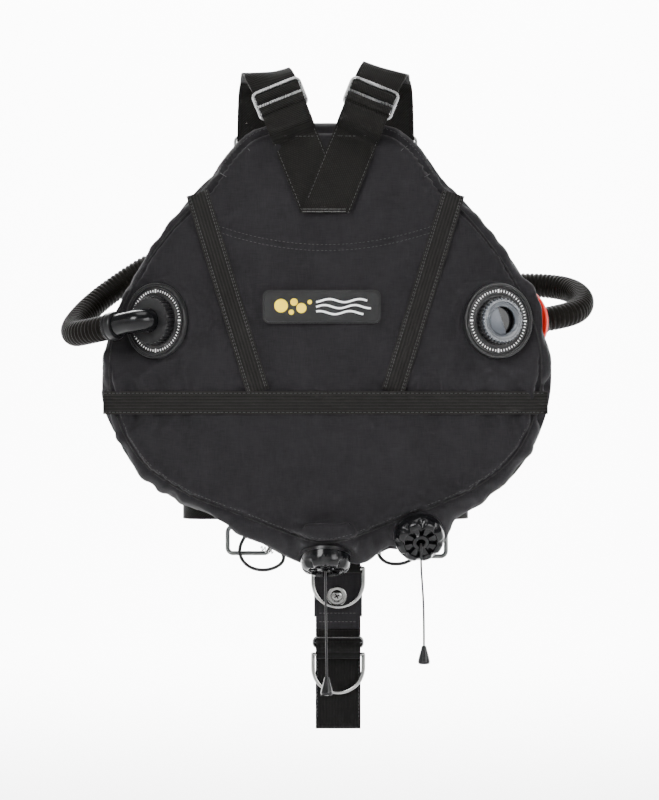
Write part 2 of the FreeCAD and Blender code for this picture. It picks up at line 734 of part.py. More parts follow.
def make_rails():
    rails = []
    for x0, x1, z1, z0 in (left_rail_box, right_rail_box):
        corners = [(x0, rail_y, z1), (x1, rail_y, z1), (x1, rail_y, z0), (x0, rail_y, z0)]
        rails.append(ring_wire(corners, rail_wire, 6))
    keep("tank_rails", Part.makeCompound(rails))
    tabs = []
    for x0, x1, z1, _ in (left_rail_box, right_rail_box):
        tabs.append(fold((x0 + x1) / 2, x1 - x0 - 16, rail_y, z1, rail_wire / 2 + fit_gap, 6.5))
    return tabs


def make_bungees():
    """Two elastic loops below the wing, each with a small split ring on it."""
    loops, rings = [], []
    y = 27.0
    for route, ring_x, ring_z in (
            ([(-80, 47), (-92, 34), (-97, 16), (-86, 1), (-66, -3), (-47, 5), (-46, 18),
              (-62, 25), (-66, 47)], -64, 32),
            ([(64, 47), (61, 30), (57, 16), (68, 5), (88, 5), (101, 14), (103, 32), (96, 46)],
             62, 33)):
        points = [(x, y, wing_bottom + z) for x, z in route]
        solid, _, _, _ = tube(points, bungee_diameter)
        loops.append(solid)
        rings.append(Part.makeTorus(5.2, 1.0, V(ring_x, y, wing_bottom + ring_z), V(0, 0.3, 1)))
    keep("bungee_loops", Part.makeCompound(loops))
    keep("split_rings", Part.makeCompound(rings))


def make_zip():
    y = wing_back_depth * math.sin(math.radians(depth_steps[-1])) ** (2 / 3) + 0.3
    low, high = zip_span
    x = zip_x
    tape = Part.makeBox(24, 0.8, high - low, V(x - 12, y, low))
    teeth = Part.makeBox(6, 2.2, high - low, V(x - 3, y, low))
    keep("inner_zip", tape.fuse(teeth))
    body = Part.makeBox(11, 5.6, 14, V(x - 5.5, y + 1.1, high - 16))
    tunnel = Part.makeBox(6.8, 3, 20, V(x - 3.4, y + 0.2, high - 19))
    tab = Part.makeBox(6, 1.6, 26, V(x - 3, y + 6.7, high - 34))
    keep("zip_slider", body.cut(tunnel).fuse(tab))


make_wing()
make_bands()
slide_depths = make_yoke_straps()
make_shoulder_straps(slide_depths)
make_slides(slide_depths)
keepers = make_rings()
make_back()
make_waist()
make_crotch_strap()
make_ports()
mouthpieces = [make_inflator("left", left_hose_points, -1),
               make_inflator("reserve", reserve_hose_points, 1)]
keep("mouthpieces", Part.makeCompound(mouthpieces))
make_valves()
keep("bar_keepers", Part.makeCompound(keepers + make_rails()))
make_bungees()
make_zip()

os.makedirs("parts", exist_ok=True)
for node, shape in made.items():
    shape.exportStep("parts/" + node + ".step")
print(len(made), "nodes written")
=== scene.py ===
import math

import bmesh
import bpy
from mathutils import Matrix, Vector, noise
from mathutils.bvhtree import BVHTree


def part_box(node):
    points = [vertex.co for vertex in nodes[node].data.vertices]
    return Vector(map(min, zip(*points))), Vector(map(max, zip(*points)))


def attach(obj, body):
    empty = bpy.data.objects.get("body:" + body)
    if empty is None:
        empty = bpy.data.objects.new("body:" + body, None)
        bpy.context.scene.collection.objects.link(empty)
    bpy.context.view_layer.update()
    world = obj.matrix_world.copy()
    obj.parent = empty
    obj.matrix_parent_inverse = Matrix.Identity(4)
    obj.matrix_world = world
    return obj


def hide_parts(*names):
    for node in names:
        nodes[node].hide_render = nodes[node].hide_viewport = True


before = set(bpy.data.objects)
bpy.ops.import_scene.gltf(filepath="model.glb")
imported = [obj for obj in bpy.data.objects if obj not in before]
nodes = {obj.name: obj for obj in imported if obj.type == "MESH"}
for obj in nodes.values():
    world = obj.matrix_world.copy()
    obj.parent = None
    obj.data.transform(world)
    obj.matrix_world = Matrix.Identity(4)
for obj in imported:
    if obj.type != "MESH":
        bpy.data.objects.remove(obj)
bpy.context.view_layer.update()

mm = 0.001


# small helpers

def vec(x, y, z):
    return Vector((x, y, z)) * mm


def linked(name, data):
    # a new object in the scene
    thing = bpy.data.objects.new(name, data)
    bpy.context.scene.collection.objects.link(thing)
    return thing


def meshFrom(name, bm):
    mesh = bpy.data.meshes.new(name)
    bm.to_mesh(mesh)
    bm.free()
    return mesh


def smoothFaces(mesh):
    mesh.polygons.foreach_set("use_smooth", [True] * len(mesh.polygons))


def finished(name, bm, material, body="root", replaces=(), smooth=True):
    # turns a bmesh into a named piece that rides on a body
    mesh = meshFrom(name, bm)
    if smooth:
        smoothFaces(mesh)
    return pieceFrom(name, mesh, material, body, replaces)


def pieceFrom(name, mesh, material, body="root", replaces=()):
    piece = linked(name, mesh)
    if material:
        mesh.materials.clear()
        mesh.materials.append(material)
    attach(piece, body)
    if replaces:
        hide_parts(*replaces)
    return piece


def smoothByAngle(piece, limit=38):
    smoothFaces(piece.data)
    piece.data.set_sharp_from_angle(angle=math.radians(limit))
    return piece


def applied(piece):
    # bakes the piece's modifiers into its mesh
    graph = bpy.context.evaluated_depsgraph_get()
    mesh = bpy.data.meshes.new_from_object(piece.evaluated_get(graph))
    piece.modifiers.clear()
    piece.data = mesh
    return piece


def axisFrame(place, axis):
    # a matrix whose Z runs along the axis
    turn = axis.to_track_quat("Z", "Y").to_matrix().to_4x4()
    return Matrix.Translation(place) @ turn


def between(a, b, c, d, t):
    # a smooth way from b to c, led in from a and out to d
    return 0.5 * ((2 * b) + (c - a) * t + (2 * a - 5 * b + 4 * c - d) * t * t
                  + (3 * b - a - 3 * c + d) * t ** 3)


def smoothRoute(points, steps):
    # an even curve through a few points, as a list of vectors
    pts = [points[0]] + list(points) + [points[-1]]
    route = [between(*pts[i - 1:i + 3], k / steps)
             for i in range(1, len(pts) - 2) for k in range(steps)]
    return route + [pts[-2]]


def nurbsRoute(name, points, detail=24):
    # one open NURBS spline with the given points, and the line that it makes
    curve = bpy.data.curves.new(name, "CURVE")
    curve.dimensions = "3D"
    spline = curve.splines.new("NURBS")
    spline.points.add(len(points) - 1)
    for place, point in zip(spline.points, points):
        place.co = (*point, 1)
    spline.order_u = 3
    spline.use_endpoint_u = True
    spline.resolution_u = detail
    holder = linked(name, curve)
    graph = bpy.context.evaluated_depsgraph_get()
    line = bpy.data.meshes.new_from_object(holder.evaluated_get(graph))
    path = [v.co.copy() for v in line.vertices]
    bpy.data.objects.remove(holder)
    return path


def resampled(path, spacing):
    # points a fixed distance apart along a line
    total = sum((b - a).length for a, b in zip(path, path[1:]))
    count = max(2, round(total / spacing))
    step, out, travelled, i = total / count, [path[0]], 0.0, 0
    for k in range(1, count):
        target = k * step
        while travelled + (path[i + 1] - path[i]).length < target:
            travelled += (path[i + 1] - path[i]).length
            i += 1
        run = path[i + 1] - path[i]
        out.append(path[i] + run * ((target - travelled) / run.length))
    out.append(path[-1])
    return out, total


def block(bm, matrix, size):
    # a box, with its size in mm
    scale = Matrix.Diagonal((*(s * mm for s in size), 1))
    bmesh.ops.create_cube(bm, size=1, matrix=matrix @ scale)


def extrudedRow(bm, row):
    # grows a row or ring of vertices by its own edges, and keeps their order
    inRow = set(row)
    edges = dict.fromkeys(e for v in row for e in v.link_edges if e.other_vert(v) in inRow)
    grown = bmesh.ops.extrude_edge_only(bm, edges=list(edges))["geom"]
    partner = {e.other_vert(v): v for v in grown if isinstance(v, bmesh.types.BMVert)
               for e in v.link_edges if e.other_vert(v) in inRow}
    return [partner[v] for v in row]


def tubeAlong(bm, path, radiusAt, sides=16):
    # rings of vertices carried along a path without twisting
    ahead = (path[1] - path[0]).normalized()
    side = ahead.orthogonal().normalized()
    ring, made = None, []
    for i, here in enumerate(path):
        run = path[min(i + 1, len(path) - 1)] - path[max(i - 1, 0)]
        ahead = run.normalized()
        side = (side - ahead * side.dot(ahead)).normalized()
        up = ahead.cross(side)
        radius = radiusAt(i)
        if ring is None:
            ring = bmesh.ops.create_circle(bm, segments=sides, radius=1)["verts"]
        else:
            ring = extrudedRow(bm, ring)
        for k, v in enumerate(ring):
            angle = 2 * math.pi * k / sides
            v.co = here + (side * math.cos(angle) + up * math.sin(angle)) * radius
        made.append(ring)
    bm.faces.new(list(reversed(made[0])))
    bm.faces.new(made[-1])
    bmesh.ops.recalc_face_normals(bm, faces=bm.faces)


def lathe(bm, profile, matrix, steps=64):
    # spins a (radius, height) outline in mm into a closed ring or disc
    verts = [bm.verts.new((r * mm, 0, z * mm)) for r, z in profile]
    edges = [bm.edges.new((a, b)) for a, b in zip(verts, verts[1:])]
    if profile[0][0] > 0:
        edges.append(bm.edges.new((verts[-1], verts[0])))
    before = set(bm.verts) - set(verts)
    bmesh.ops.spin(bm, geom=verts + edges, cent=(0, 0, 0), axis=(0, 0, 1),
                   angle=2 * math.pi, steps=steps, use_merge=True, dvec=(0, 0, 0))
    made = [v for v in bm.verts if v not in before]
    bmesh.ops.remove_doubles(bm, verts=made, dist=1e-6)
    made = [v for v in bm.verts if v not in before]
    bmesh.ops.recalc_face_normals(bm, faces=list({f for v in made for f in v.link_faces}))
    bmesh.ops.transform(bm, matrix=matrix, verts=made)


# finishes

def setInputs(node, values):
    for name, value in values.items():
        node.inputs[name].default_value = value


def nodeMaterial(name, colour, rough=0.5, metal=0.0):
    material = bpy.data.materials.new(name)
    material.use_nodes = True
    tree = material.node_tree
    shader = tree.nodes["Principled BSDF"]
    setInputs(shader, {"Base Color": (*colour, 1), "Roughness": rough, "Metallic": metal})
    return material, tree, shader


def link(tree, a, b):
    tree.links.new(a, b)


def mathNode(tree, kind, a, b=None):
    node = tree.nodes.new("ShaderNodeMath")
    node.operation = kind
    for i, value in enumerate((a, b)):
        if value is None:
            continue
        if isinstance(value, (int, float)):
            node.inputs[i].default_value = value
        else:
            link(tree, value, node.inputs[i])
    return node.outputs[0]


def mixed(tree, a, shareA, b, shareB):
    # two signals added up, each by its share
    return mathNode(tree, "ADD", mathNode(tree, "MULTIPLY", a, shareA),
                    mathNode(tree, "MULTIPLY", b, shareB))


def coordinates(tree, kind="Object", scale=(1, 1, 1), turn=(0, 0, 0)):
    place = tree.nodes.new("ShaderNodeTexCoord")
    mapping = tree.nodes.new("ShaderNodeMapping")
    setInputs(mapping, {"Scale": scale, "Rotation": turn})
    link(tree, place.outputs[kind], mapping.inputs["Vector"])
    return mapping.outputs["Vector"]


def noiseAt(tree, vector, scale, detail=3.0, rough=0.6):
    node = tree.nodes.new("ShaderNodeTexNoise")
    setInputs(node, {"Scale": scale, "Detail": detail, "Roughness": rough})
    link(tree, vector, node.inputs["Vector"])
    return node.outputs["Fac"]


def bands(tree, vector, pitch, direction="X"):
    node = tree.nodes.new("ShaderNodeTexWave")
    node.bands_direction = direction
    node.inputs["Scale"].default_value = (0.628 if direction == "DIAGONAL" else 0.314) / pitch
    link(tree, vector, node.inputs["Vector"])
    return node.outputs["Fac"]


def ramp(tree, factor, stops):
    node = tree.nodes.new("ShaderNodeValToRGB")
    elements = node.color_ramp.elements
    while len(elements) < len(stops):
        elements.new(0.5)
    for element, (place, colour) in zip(elements, stops):
        element.position = place
        element.color = (*colour, 1)
    link(tree, factor, node.inputs["Fac"])
    return node.outputs["Color"]


def bumped(tree, shader, height, strength, distance):
    node = tree.nodes.new("ShaderNodeBump")
    setInputs(node, {"Strength": strength, "Distance": distance})
    link(tree, height, node.inputs["Height"])
    link(tree, node.outputs["Normal"], shader.inputs["Normal"])


def shellFabric(name, dark, light):
    # coated nylon: fine crossed threads, a heavier thread now and then, faint mottling
    material, tree, shader = nodeMaterial(name, dark, 0.78)
    warp = noiseAt(tree, coordinates(tree, scale=(1500, 300, 90)), 1.0, 2.0)
    weft = noiseAt(tree, coordinates(tree, scale=(90, 300, 1500)), 1.0, 2.0)
    weave = mathNode(tree, "MULTIPLY", bands(tree, coordinates(tree), 0.0011, "X"),
                     bands(tree, coordinates(tree), 0.0011, "Z"))
    threads = mathNode(tree, "ADD", warp, weft)
    cloud = noiseAt(tree, coordinates(tree), 22.0, 4.0)
    mix = mixed(tree, threads, 0.38, cloud, 0.24)
    tone = ramp(tree, mix, [(0.30, dark), (0.72, light)])
    link(tree, tone, shader.inputs["Base Color"])
    bumped(tree, shader, mixed(tree, threads, 0.5, weave, 0.5), 0.35, 0.0006)
    setInputs(shader, {"Sheen Weight": 0.03, "Sheen Roughness": 0.45, "Specular IOR Level": 0.16})
    return material


def webbing(name, dark, light, kind):
    # woven tape: U runs across and V along it, both in metres
    material, tree, shader = nodeMaterial(name, dark, 0.72)
    flat = coordinates(tree, "UV")
    if kind == "ribs":
        main = bands(tree, flat, 0.0034, "X")
        fine = bands(tree, flat, 0.0011, "Y")
    else:
        main = bands(tree, flat, 0.0030, "DIAGONAL")
        fine = bands(tree, flat, 0.0013, "Y")
    grain = noiseAt(tree, coordinates(tree), 700.0, 2.0)
    height = mixed(tree, main, 0.6, fine, 0.4)
    # the colour follows the weave's height as well as a random grain: painted shade in the weave's
    # hollows, lighter on its raised threads
    shade = mixed(tree, height, 0.6, grain, 0.4)
    link(tree, ramp(tree, shade, [(0.25, dark), (0.8, light)]), shader.inputs["Base Color"])
    bumped(tree, shader, height, 0.6, 0.0007)
    setInputs(shader, {"Sheen Weight": 0.02, "Specular IOR Level": 0.12})
    return material


def moulded(name, colour, rough, grainSize=900.0, relief=0.1, wear=0.06, specular=0.5):
    # rubber and plastic: a fine skin texture and slightly uneven gloss
    material, tree, shader = nodeMaterial(name, colour, rough)
    place = coordinates(tree)
    grain = noiseAt(tree, place, grainSize, 2.0)
    patches = noiseAt(tree, place, 45.0, 4.0)
    uneven = mathNode(tree, "ADD", mathNode(tree, "MULTIPLY", patches, 2 * wear), rough - wear)
    link(tree, uneven, shader.inputs["Roughness"])
    lighter = tuple(min(1, c * 1.35 + 0.001) for c in colour)
    link(tree, ramp(tree, patches, [(0.35, colour), (0.75, lighter)]),
         shader.inputs["Base Color"])
    bumped(tree, shader, grain, relief, 0.0003)
    setInputs(shader, {"Specular IOR Level": specular})
    return material


def steel(name, colour, rough, ribPitch=None):
    # drawn wire, polished or with a diagonal knurl
    material, tree, shader = nodeMaterial(name, colour, rough, 1.0)
    place = coordinates(tree)
    streaks = noiseAt(tree, coordinates(tree, scale=(900, 900, 120)), 1.0, 3.0)
    uneven = mathNode(tree, "ADD", mathNode(tree, "MULTIPLY", streaks, 0.16), rough - 0.08)
    link(tree, uneven, shader.inputs["Roughness"])
    tint = tuple(c * 0.72 for c in colour)
    link(tree, ramp(tree, noiseAt(tree, place, 60.0, 4.0), [(0.3, tint), (0.7, colour)]),
         shader.inputs["Base Color"])
    if ribPitch:
        ribs = bands(tree, coordinates(tree, turn=(0, 0.35, 0)), ribPitch, "DIAGONAL")
        bumped(tree, shader, ribs, 0.7, 0.0008)
    else:
        bumped(tree, shader, streaks, 0.08, 0.0002)
    return material


print("finishes")
fabric = shellFabric("coatedNylon", (0.0025, 0.0023, 0.0028), (0.0132, 0.0120, 0.0141))
# near-black, for the cord laid in the gusset seam's groove: painted shade of the seam fold
seamShadow = moulded("seamShadow", (0.0016, 0.0016, 0.0017), 0.85)
bladderFilm = moulded("bladderFilm", (0.05, 0.06, 0.08), 0.35)
twillTape = webbing("twillTape", (0.0004, 0.0004, 0.0003), (0.0086, 0.0080, 0.0068), "twill")
ribbedTape = webbing("ribbedTape", (0.0020, 0.0020, 0.0018), (0.0130, 0.0122, 0.0112), "ribs")
darkTape = webbing("darkTape", (0.0002, 0.0002, 0.0002), (0.0022, 0.0020, 0.0017), "ribs")
thread = moulded("sewingThread", (0.024, 0.024, 0.024), 0.7)
paleThread = moulded("paleThread", (0.045, 0.045, 0.043), 0.7)
mattRubber = moulded("mattRubber", (0.0036, 0.0036, 0.0039), 0.46, 700.0, 0.2, specular=0.35)
hoseRubber = moulded("hoseRubber", (0.0024, 0.0019, 0.0012), 0.56, 500.0, 0.12, 0.08, 0.08)
glossBlack = moulded("glossBlack", (0.0030, 0.0031, 0.0035), 0.16, 400.0, 0.03, 0.05, 0.22)
satinBlack = moulded("satinBlack", (0.0042, 0.0042, 0.0046), 0.34, 800.0, 0.08, 0.06, 0.3)
redRubber = moulded("redRubber", (0.52, 0.010, 0.004), 0.5, specular=0.2)
whiteMark = moulded("whiteMark", (0.82, 0.82, 0.82), 0.45)
yellowMark = moulded("yellowMark", (0.90, 0.56, 0.0), 0.45)
smokedPlastic = moulded("smokedPlastic", (0.066, 0.073, 0.084), 0.26, 400.0, 0.04)
setInputs(smokedPlastic.node_tree.nodes["Principled BSDF"], {"Transmission Weight": 0.25})
palePlastic = moulded("palePlastic", (0.055, 0.062, 0.074), 0.32, 400.0, 0.04, 0.06, 0.3)
brightWire = steel("brightWire", (0.31, 0.31, 0.30), 0.2)
shadedWire = steel("shadedWire", (0.10, 0.10, 0.10), 0.25)
knurledWire = steel("knurledWire", (0.40, 0.40, 0.40), 0.28, 0.0030)
brushedPlate = steel("brushedPlate", (0.20, 0.20, 0.197), 0.38)
greyWire = steel("greyWire", (0.13, 0.134, 0.131), 0.5)
blueButton = moulded("blueButton", (0.010, 0.045, 0.20), 0.45, specular=0.25)
redButton = moulded("redButton", (0.26, 0.010, 0.006), 0.45, specular=0.25)


# bladder shell

shell = {
    "width": 500, "height": 495, "top": -51, "front": 46, "back": 30,
    "halfOutline": [
        (0.0, 0.0), (0.16, 0.001), (0.29, 0.007), (0.40, 0.046), (0.545, 0.139),
        (0.708, 0.23), (0.86, 0.337), (0.96, 0.442), (1.0, 0.554), (0.968, 0.669),
        (0.86, 0.776), (0.66, 0.859), (0.42, 0.92), (0.2, 0.974), (0.0, 1.0)],
    "shrink": 1.0, "bladderInset": 17.0, "voxel": 5.5, "pressure": 4.0, "cap": 9.0,
    "clothSteps": 16, "portDent": 7, "portDentHeight": 24,
}
middleZ = shell["top"] - shell["height"] / 2


def seatAxis(degrees, side, facing):
    angle = math.radians(degrees)
    return Vector((side * math.sin(angle), facing * math.cos(angle), 0))


# each port and valve: the seat's middle, its axis, and its flange's radius in mm
seats = {
    "left": (vec(-182, -36, -273), seatAxis(34, -1, -1), 41),
    "right": (vec(186, -37, -273), seatAxis(23, 1, -1), 41),
    "reserve": (vec(208, 26, -273), seatAxis(30, 1, 1), 41),
    "centre": (vec(0, -24, -526), Vector((0, -0.36, -0.93)).normalized(), 27),
    "low": (vec(101, -29, -504), Vector((0.12, -0.86, -0.5)).normalized(), 27),
}


def rimOutline(shrink=0.0):
    # points round the rim, in mm, as (x, z)
    half = [Vector((s * (shell["width"] / 2 - shrink),
                    shell["top"] - shrink - d * (shell["height"] - 2 * shrink)))
            for s, d in shell["halfOutline"]]
    loop = half + [Vector((-p.x, p.y)) for p in reversed(half[1:-1])]
    n, steps = len(loop), 6
    return [between(*(loop[(i + k) % n] for k in (-1, 0, 1, 2)), step / steps)
            for i in range(n) for step in range(steps)]


rim = rimOutline()
rimPolar = sorted((math.atan2(p.y - middleZ, p.x), math.hypot(p.x, p.y - middleZ)) for p in rim)


def rimReach(x, z):
    # how far out a place is, as a share of the way to the rim
    angle = math.atan2(z - middleZ, x)
    best = min(rimPolar, key=lambda row: abs(row[0] - angle))
    return math.hypot(x, z - middleZ) / best[1]


def makePillow(inset, seated=True):
    bm = bmesh.new()
    outline = rimOutline(inset)
    rows = []
    for side, depth in ((-1, shell["front"]), (1, shell["back"])):
        half = []
        for angle in range(0, 79, 6):
            scale = math.cos(math.radians(angle)) ** (2 / 3)
            half.append((scale, side * (depth - inset) * math.sin(math.radians(angle)) ** (2 / 3)))
        rows += list(reversed(half)) if side < 0 else half[1:]
    ring = bmesh.ops.create_circle(bm, segments=len(outline), radius=1)["verts"]
    last = ring
    for i, (scale, y) in enumerate(rows):
        if i:
            last = extrudedRow(bm, last)
        for v, p in zip(last, outline):
            v.co = vec(p.x * scale, y, middleZ + (p.y - middleZ) * scale)
    bm.faces.new(ring)
    bm.faces.new(last)
    for place, axis, radius in seats.values() if seated else ():
        depth = (30 if radius > 30 else 20) * mm
        matrix = axisFrame(place - axis * (depth / 2 + 0.001), axis)
        bmesh.ops.create_cone(bm, cap_ends=True, cap_tris=False, segments=48,
                              radius1=(radius + 16) * mm, radius2=(radius + 2) * mm,
                              depth=depth, matrix=matrix)
    bmesh.ops.recalc_face_normals(bm, faces=bm.faces)
    return bm


def seatLimit(point, sunk=0.0):
    # keeps the cloth under each flange and lets it lap up a little round it
    under, edge, slope = -1.0, 1.5, 0.62
    for place, axis, radius in seats.values():
        offset = point - place
        rise = (offset.dot(axis) + sunk) / mm
        across = (offset - axis * offset.dot(axis)).length / mm
        if across < radius + 34 and rise > -24:
            roof = under + max(0.0, across - radius - edge) * slope
            if rise > roof:
                point = point - axis * ((rise - roof) * mm)
    return point


def makeBladders():
    # two film bags back to back, well inside the shell
    for side, name, cadNode in ((-1, "mainBladderBag", "main_bladder"),
                                (1, "reserveBladderBag", "reserve_bladder")):
        bm = makePillow(shell["bladderInset"], seated=False)
        for v in bm.verts:
            v.co = seatLimit(v.co, 9 * mm)
        everything = bm.verts[:] + bm.edges[:] + bm.faces[:]
        bmesh.ops.bisect_plane(bm, geom=everything, plane_co=(0, (3 + 0.8 * side) * mm, 0),
                               plane_no=(0, side, 0), clear_inner=True)
        bmesh.ops.holes_fill(bm, edges=[e for e in bm.edges if e.is_boundary])
        bmesh.ops.recalc_face_normals(bm, faces=bm.faces)
        finished(name, bm, bladderFilm, replaces=(cadNode,))


tapeLines = {
    "cross": (Vector((-241, -362)), Vector((241, -362))),
    "left": (Vector((-138, -135)), Vector((-73, -344))),
    "right": (Vector((138, -135)), Vector((73, -344))),
}


def toLine(x, z, ends):
    a, b = ends
    p, run = Vector((x, z)), b - a
    t = max(0.0, min(1.0, (p - a).dot(run) / run.length_squared))
    return (p - (a + run * t)).length, t * run.length


def seamShare(x, z):
    # where the outer panel is sewn to the gusset: further in along the foot
    angle = math.atan2(z - middleZ, x)
    return 0.945 - 0.075 * max(0.0, -math.sin(angle)) ** 3


def bell(distance, width):
    return math.exp(-(distance / width) ** 2)


# how high or deep each kind of fold in the cloth is, in mm
folds = {
    "crossPull": 5.4, "diagonalPull": 4.2, "pucker": 0.8, "crossPucker": 2.6,
    "bellyLong": 6.5, "bellySlant": 3.6, "portCrease": 1.7, "soft": 2.4,
    "yokeSeam": 1.2, "yokePucker": 0.5, "outerSeam": 3.8, "outerRoll": 2.0, "outerWave": 1.3,
    "innerSeam": 2.2, "innerWave": 0.9, "innerSoft": 1.6,
}
seamReach = 245  # the way from the shell's middle to its rim, in mm
yokeSeam = {"z": -193, "rise": 26, "half": 130}


def yokeHeight(x):
    return yokeSeam["z"] + yokeSeam["rise"] * (x / yokeSeam["half"]) ** 2


def foldHeight(x, y, z):
    # the cloth's own relief in mm: pulled in at the tapes and seams, soft creases between
    share = rimReach(x, z)
    height = 0.0
    if y < -4:
        for name, ends in tapeLines.items():
            gap, along = toLine(x, z, ends)
            depth = folds["crossPull" if name == "cross" else "diagonalPull"]
            height -= depth * (1.0 if gap < 12 else bell(gap - 12, 15))
            pucker = math.sin(along / 5.2 + 3 * noise.noise(Vector((along / 30, gap / 30, 1))))
            strength = folds["pucker"]
            if name == "cross":
                strength += folds["crossPucker"] * min(1.0, max(0.0, (abs(x) - 120) / 70))
            height += strength * pucker * bell(gap - 20, 11) * (gap > 10)
        belly = max(0.0, min(1.0, (-z - 372) / 40))
        long = noise.noise(Vector((x / 60, z / 210, 3)) * 1.4)
        slant = noise.noise(Vector(((x + 0.8 * z) / 38, (z - 0.4 * x) / 150, 7)))
        height += belly * (folds["bellyLong"] * long + folds["bellySlant"] * slant)
        side = 1 - belly
        for place, axis, radius in (seats["left"], seats["right"]):
            away = math.hypot(x - place.x / mm, z - place.z / mm) - radius - 12
            spoke = math.atan2(z - place.z / mm, x - place.x / mm)
            crease = math.sin(spoke * 9 + 3 * noise.noise(Vector((x / 40, z / 40, 4))))
            height += folds["portCrease"] * crease * bell(away - 8, 16) * (away > -6)
        height += side * folds["soft"] * noise.noise(Vector((x / 55, z / 80, 12)))
        yoke = abs(z - yokeHeight(x))
        if abs(x) < yokeSeam["half"] + 2:
            height -= folds["yokeSeam"] * bell(yoke, 4)
            ripple = math.sin(x / 6.5 + 2 * noise.noise(Vector((x / 20, 0, 5))))
            height += folds["yokePucker"] * ripple * bell(yoke, 12)
        seam = (share - seamShare(x, z)) * seamReach
        angle = math.atan2(z - middleZ, x)
        height -= folds["outerSeam"] * bell(seam, 3.0)
        height += folds["outerRoll"] * bell(seam + 7, 6)
        wave = math.sin(angle * 46 + 4 * noise.noise(Vector((angle * 5, 0, 9))))
        height += folds["outerWave"] * wave * bell(abs(seam) - 9, 9) * (0.5 + (z < -360))
    elif y > 6:
        seam = (share - 0.93) * seamReach
        angle = math.atan2(z - middleZ, x)
        height -= folds["innerSeam"] * bell(seam, 3.5)
        height += folds["innerWave"] * math.sin(angle * 52) * bell(abs(seam) - 8, 9)
        height += folds["innerSoft"] * noise.noise(Vector((x / 60, z / 70, 21)))
    return height


def makeShell():
    rough = linked("roughShell", meshFrom("pillow", makePillow(shell["shrink"])))
    remesh = rough.modifiers.new("even", "REMESH")
    remesh.mode = "VOXEL"
    remesh.voxel_size = shell["voxel"] * mm
    applied(rough)
    start = [v.co.copy() for v in rough.data.vertices]
    held = rough.vertex_groups.new(name="held")
    for v in rough.data.vertices:
        x, y, z = (c / mm for c in v.co)
        near = any((v.co - p).length < (r + 4) * mm for p, _, r in seats.values())
        onTape = y < 0 and any(toLine(x, z, e)[0] < 10 for e in tapeLines.values())
        if near or onTape:
            held.add([v.index], 1.0, "REPLACE")
    cloth = rough.modifiers.new("inflate", "CLOTH")
    cloth.settings.vertex_group_mass = "held"
    cloth.settings.use_pressure = True
    cloth.settings.uniform_pressure_force = shell["pressure"]
    cloth.settings.effector_weights.gravity = 0
    cloth.settings.quality = 4
    cloth.point_cache.frame_start, cloth.point_cache.frame_end = 1, shell["clothSteps"]
    for step in range(1, shell["clothSteps"] + 1):
        bpy.context.scene.frame_set(step)
    applied(rough)
    bpy.context.scene.frame_set(1)
    for v, was in zip(rough.data.vertices, start):
        move = v.co - was
        if move.length > shell["cap"] * mm:
            v.co = was + move.normalized() * shell["cap"] * mm
    fine = rough.modifiers.new("fine", "SUBSURF")
    fine.levels = fine.render_levels = 1
    applied(rough)
    mesh = rough.data
    normals = [v.normal.copy() for v in mesh.vertices]
    for v, normal in zip(mesh.vertices, normals):
        x, y, z = (c / mm for c in v.co)
        v.co = seatLimit(v.co + normal * foldHeight(x, y, z) * mm)
        if x > 190:
            # drawn in beside the reserve port, whose red flange shows past the rim
            dent = bell(z + 268, shell["portDentHeight"]) * min(1, (x - 190) / 45)
            v.co.x -= shell["portDent"] * mm * dent
    bpy.data.objects.remove(rough)
    smoothFaces(mesh)
    piece = pieceFrom("bladderShell", mesh, fabric,
                      replaces=("wing_outer_panel", "wing_gusset", "wing_inner_panel"))
    return piece


print("bladder shell")
makeBladders()
shellPiece = makeShell()
shellTree = BVHTree.FromPolygons([v.co for v in shellPiece.data.vertices],
                                 [p.vertices for p in shellPiece.data.polygons])


def outerFace(x, z):
    # where the outer cloth is, at a place given in mm
    hit = shellTree.ray_cast(vec(x, -200, z), Vector((0, 1, 0)), 0.25)
    return hit[0].y if hit[0] else -0.02


# webbing

outward = Vector((0, -1, 0))


def ribbon(name, stations, width, thickness, material, replaces=(), trimBelow=None):
    # stations are (centre, across) in metres; the tape keeps its width, in mm, along them
    width, thickness = width * mm, thickness * mm
    bm = bmesh.new()
    uv = bm.loops.layers.uv.new("tape")
    columns = 8
    shares = [k / columns - 0.5 for k in range(columns + 1)]
    row = [bm.verts.new((0, 0, 0)) for _ in shares]
    for a, b in zip(row, row[1:]):
        bm.edges.new((a, b))
    travelled, placed, frames = 0.0, {}, []
    for i, (centre, across) in enumerate(stations):
        if i:
            row = extrudedRow(bm, row)
            travelled += (centre - stations[i - 1][0]).length
        nextOne = stations[min(i + 1, len(stations) - 1)][0]
        run = (nextOne - stations[max(i - 1, 0)][0]).normalized()
        side = (across - run * across.dot(run)).normalized()
        normal = side.cross(run)
        for share, v in zip(shares, row):
            v.co = centre + side * (share * width)
            placed[v] = (share * width, travelled)
        frames.append((centre, side, normal))
    for face in bm.faces:
        for loop in face.loops:
            loop[uv].uv = placed[loop.vert]
    if trimBelow is not None:
        low = [f for f in bm.faces if f.calc_center_median().y < 0]
        geom = low + list({part for f in low for part in (*f.edges, *f.verts)})
        bmesh.ops.bisect_plane(bm, geom=geom, plane_co=(0, 0, trimBelow), plane_no=(0, 0, 1),
                               clear_inner=True)
    piece = finished(name, bm, material, replaces=replaces)
    solid = piece.modifiers.new("body", "SOLIDIFY")
    solid.thickness = thickness
    solid.offset = 0
    soft = piece.modifiers.new("edge", "BEVEL")
    soft.width = thickness * 0.3
    soft.segments = 2
    soft.angle_limit = math.radians(50)
    applied(piece)
    smoothFaces(piece.data)
    return frames


def blended(stations, steps=5):
    centres = smoothRoute([s[0] for s in stations], steps)
    sides = smoothRoute([s[1] for s in stations], steps)
    return list(zip(centres, sides))


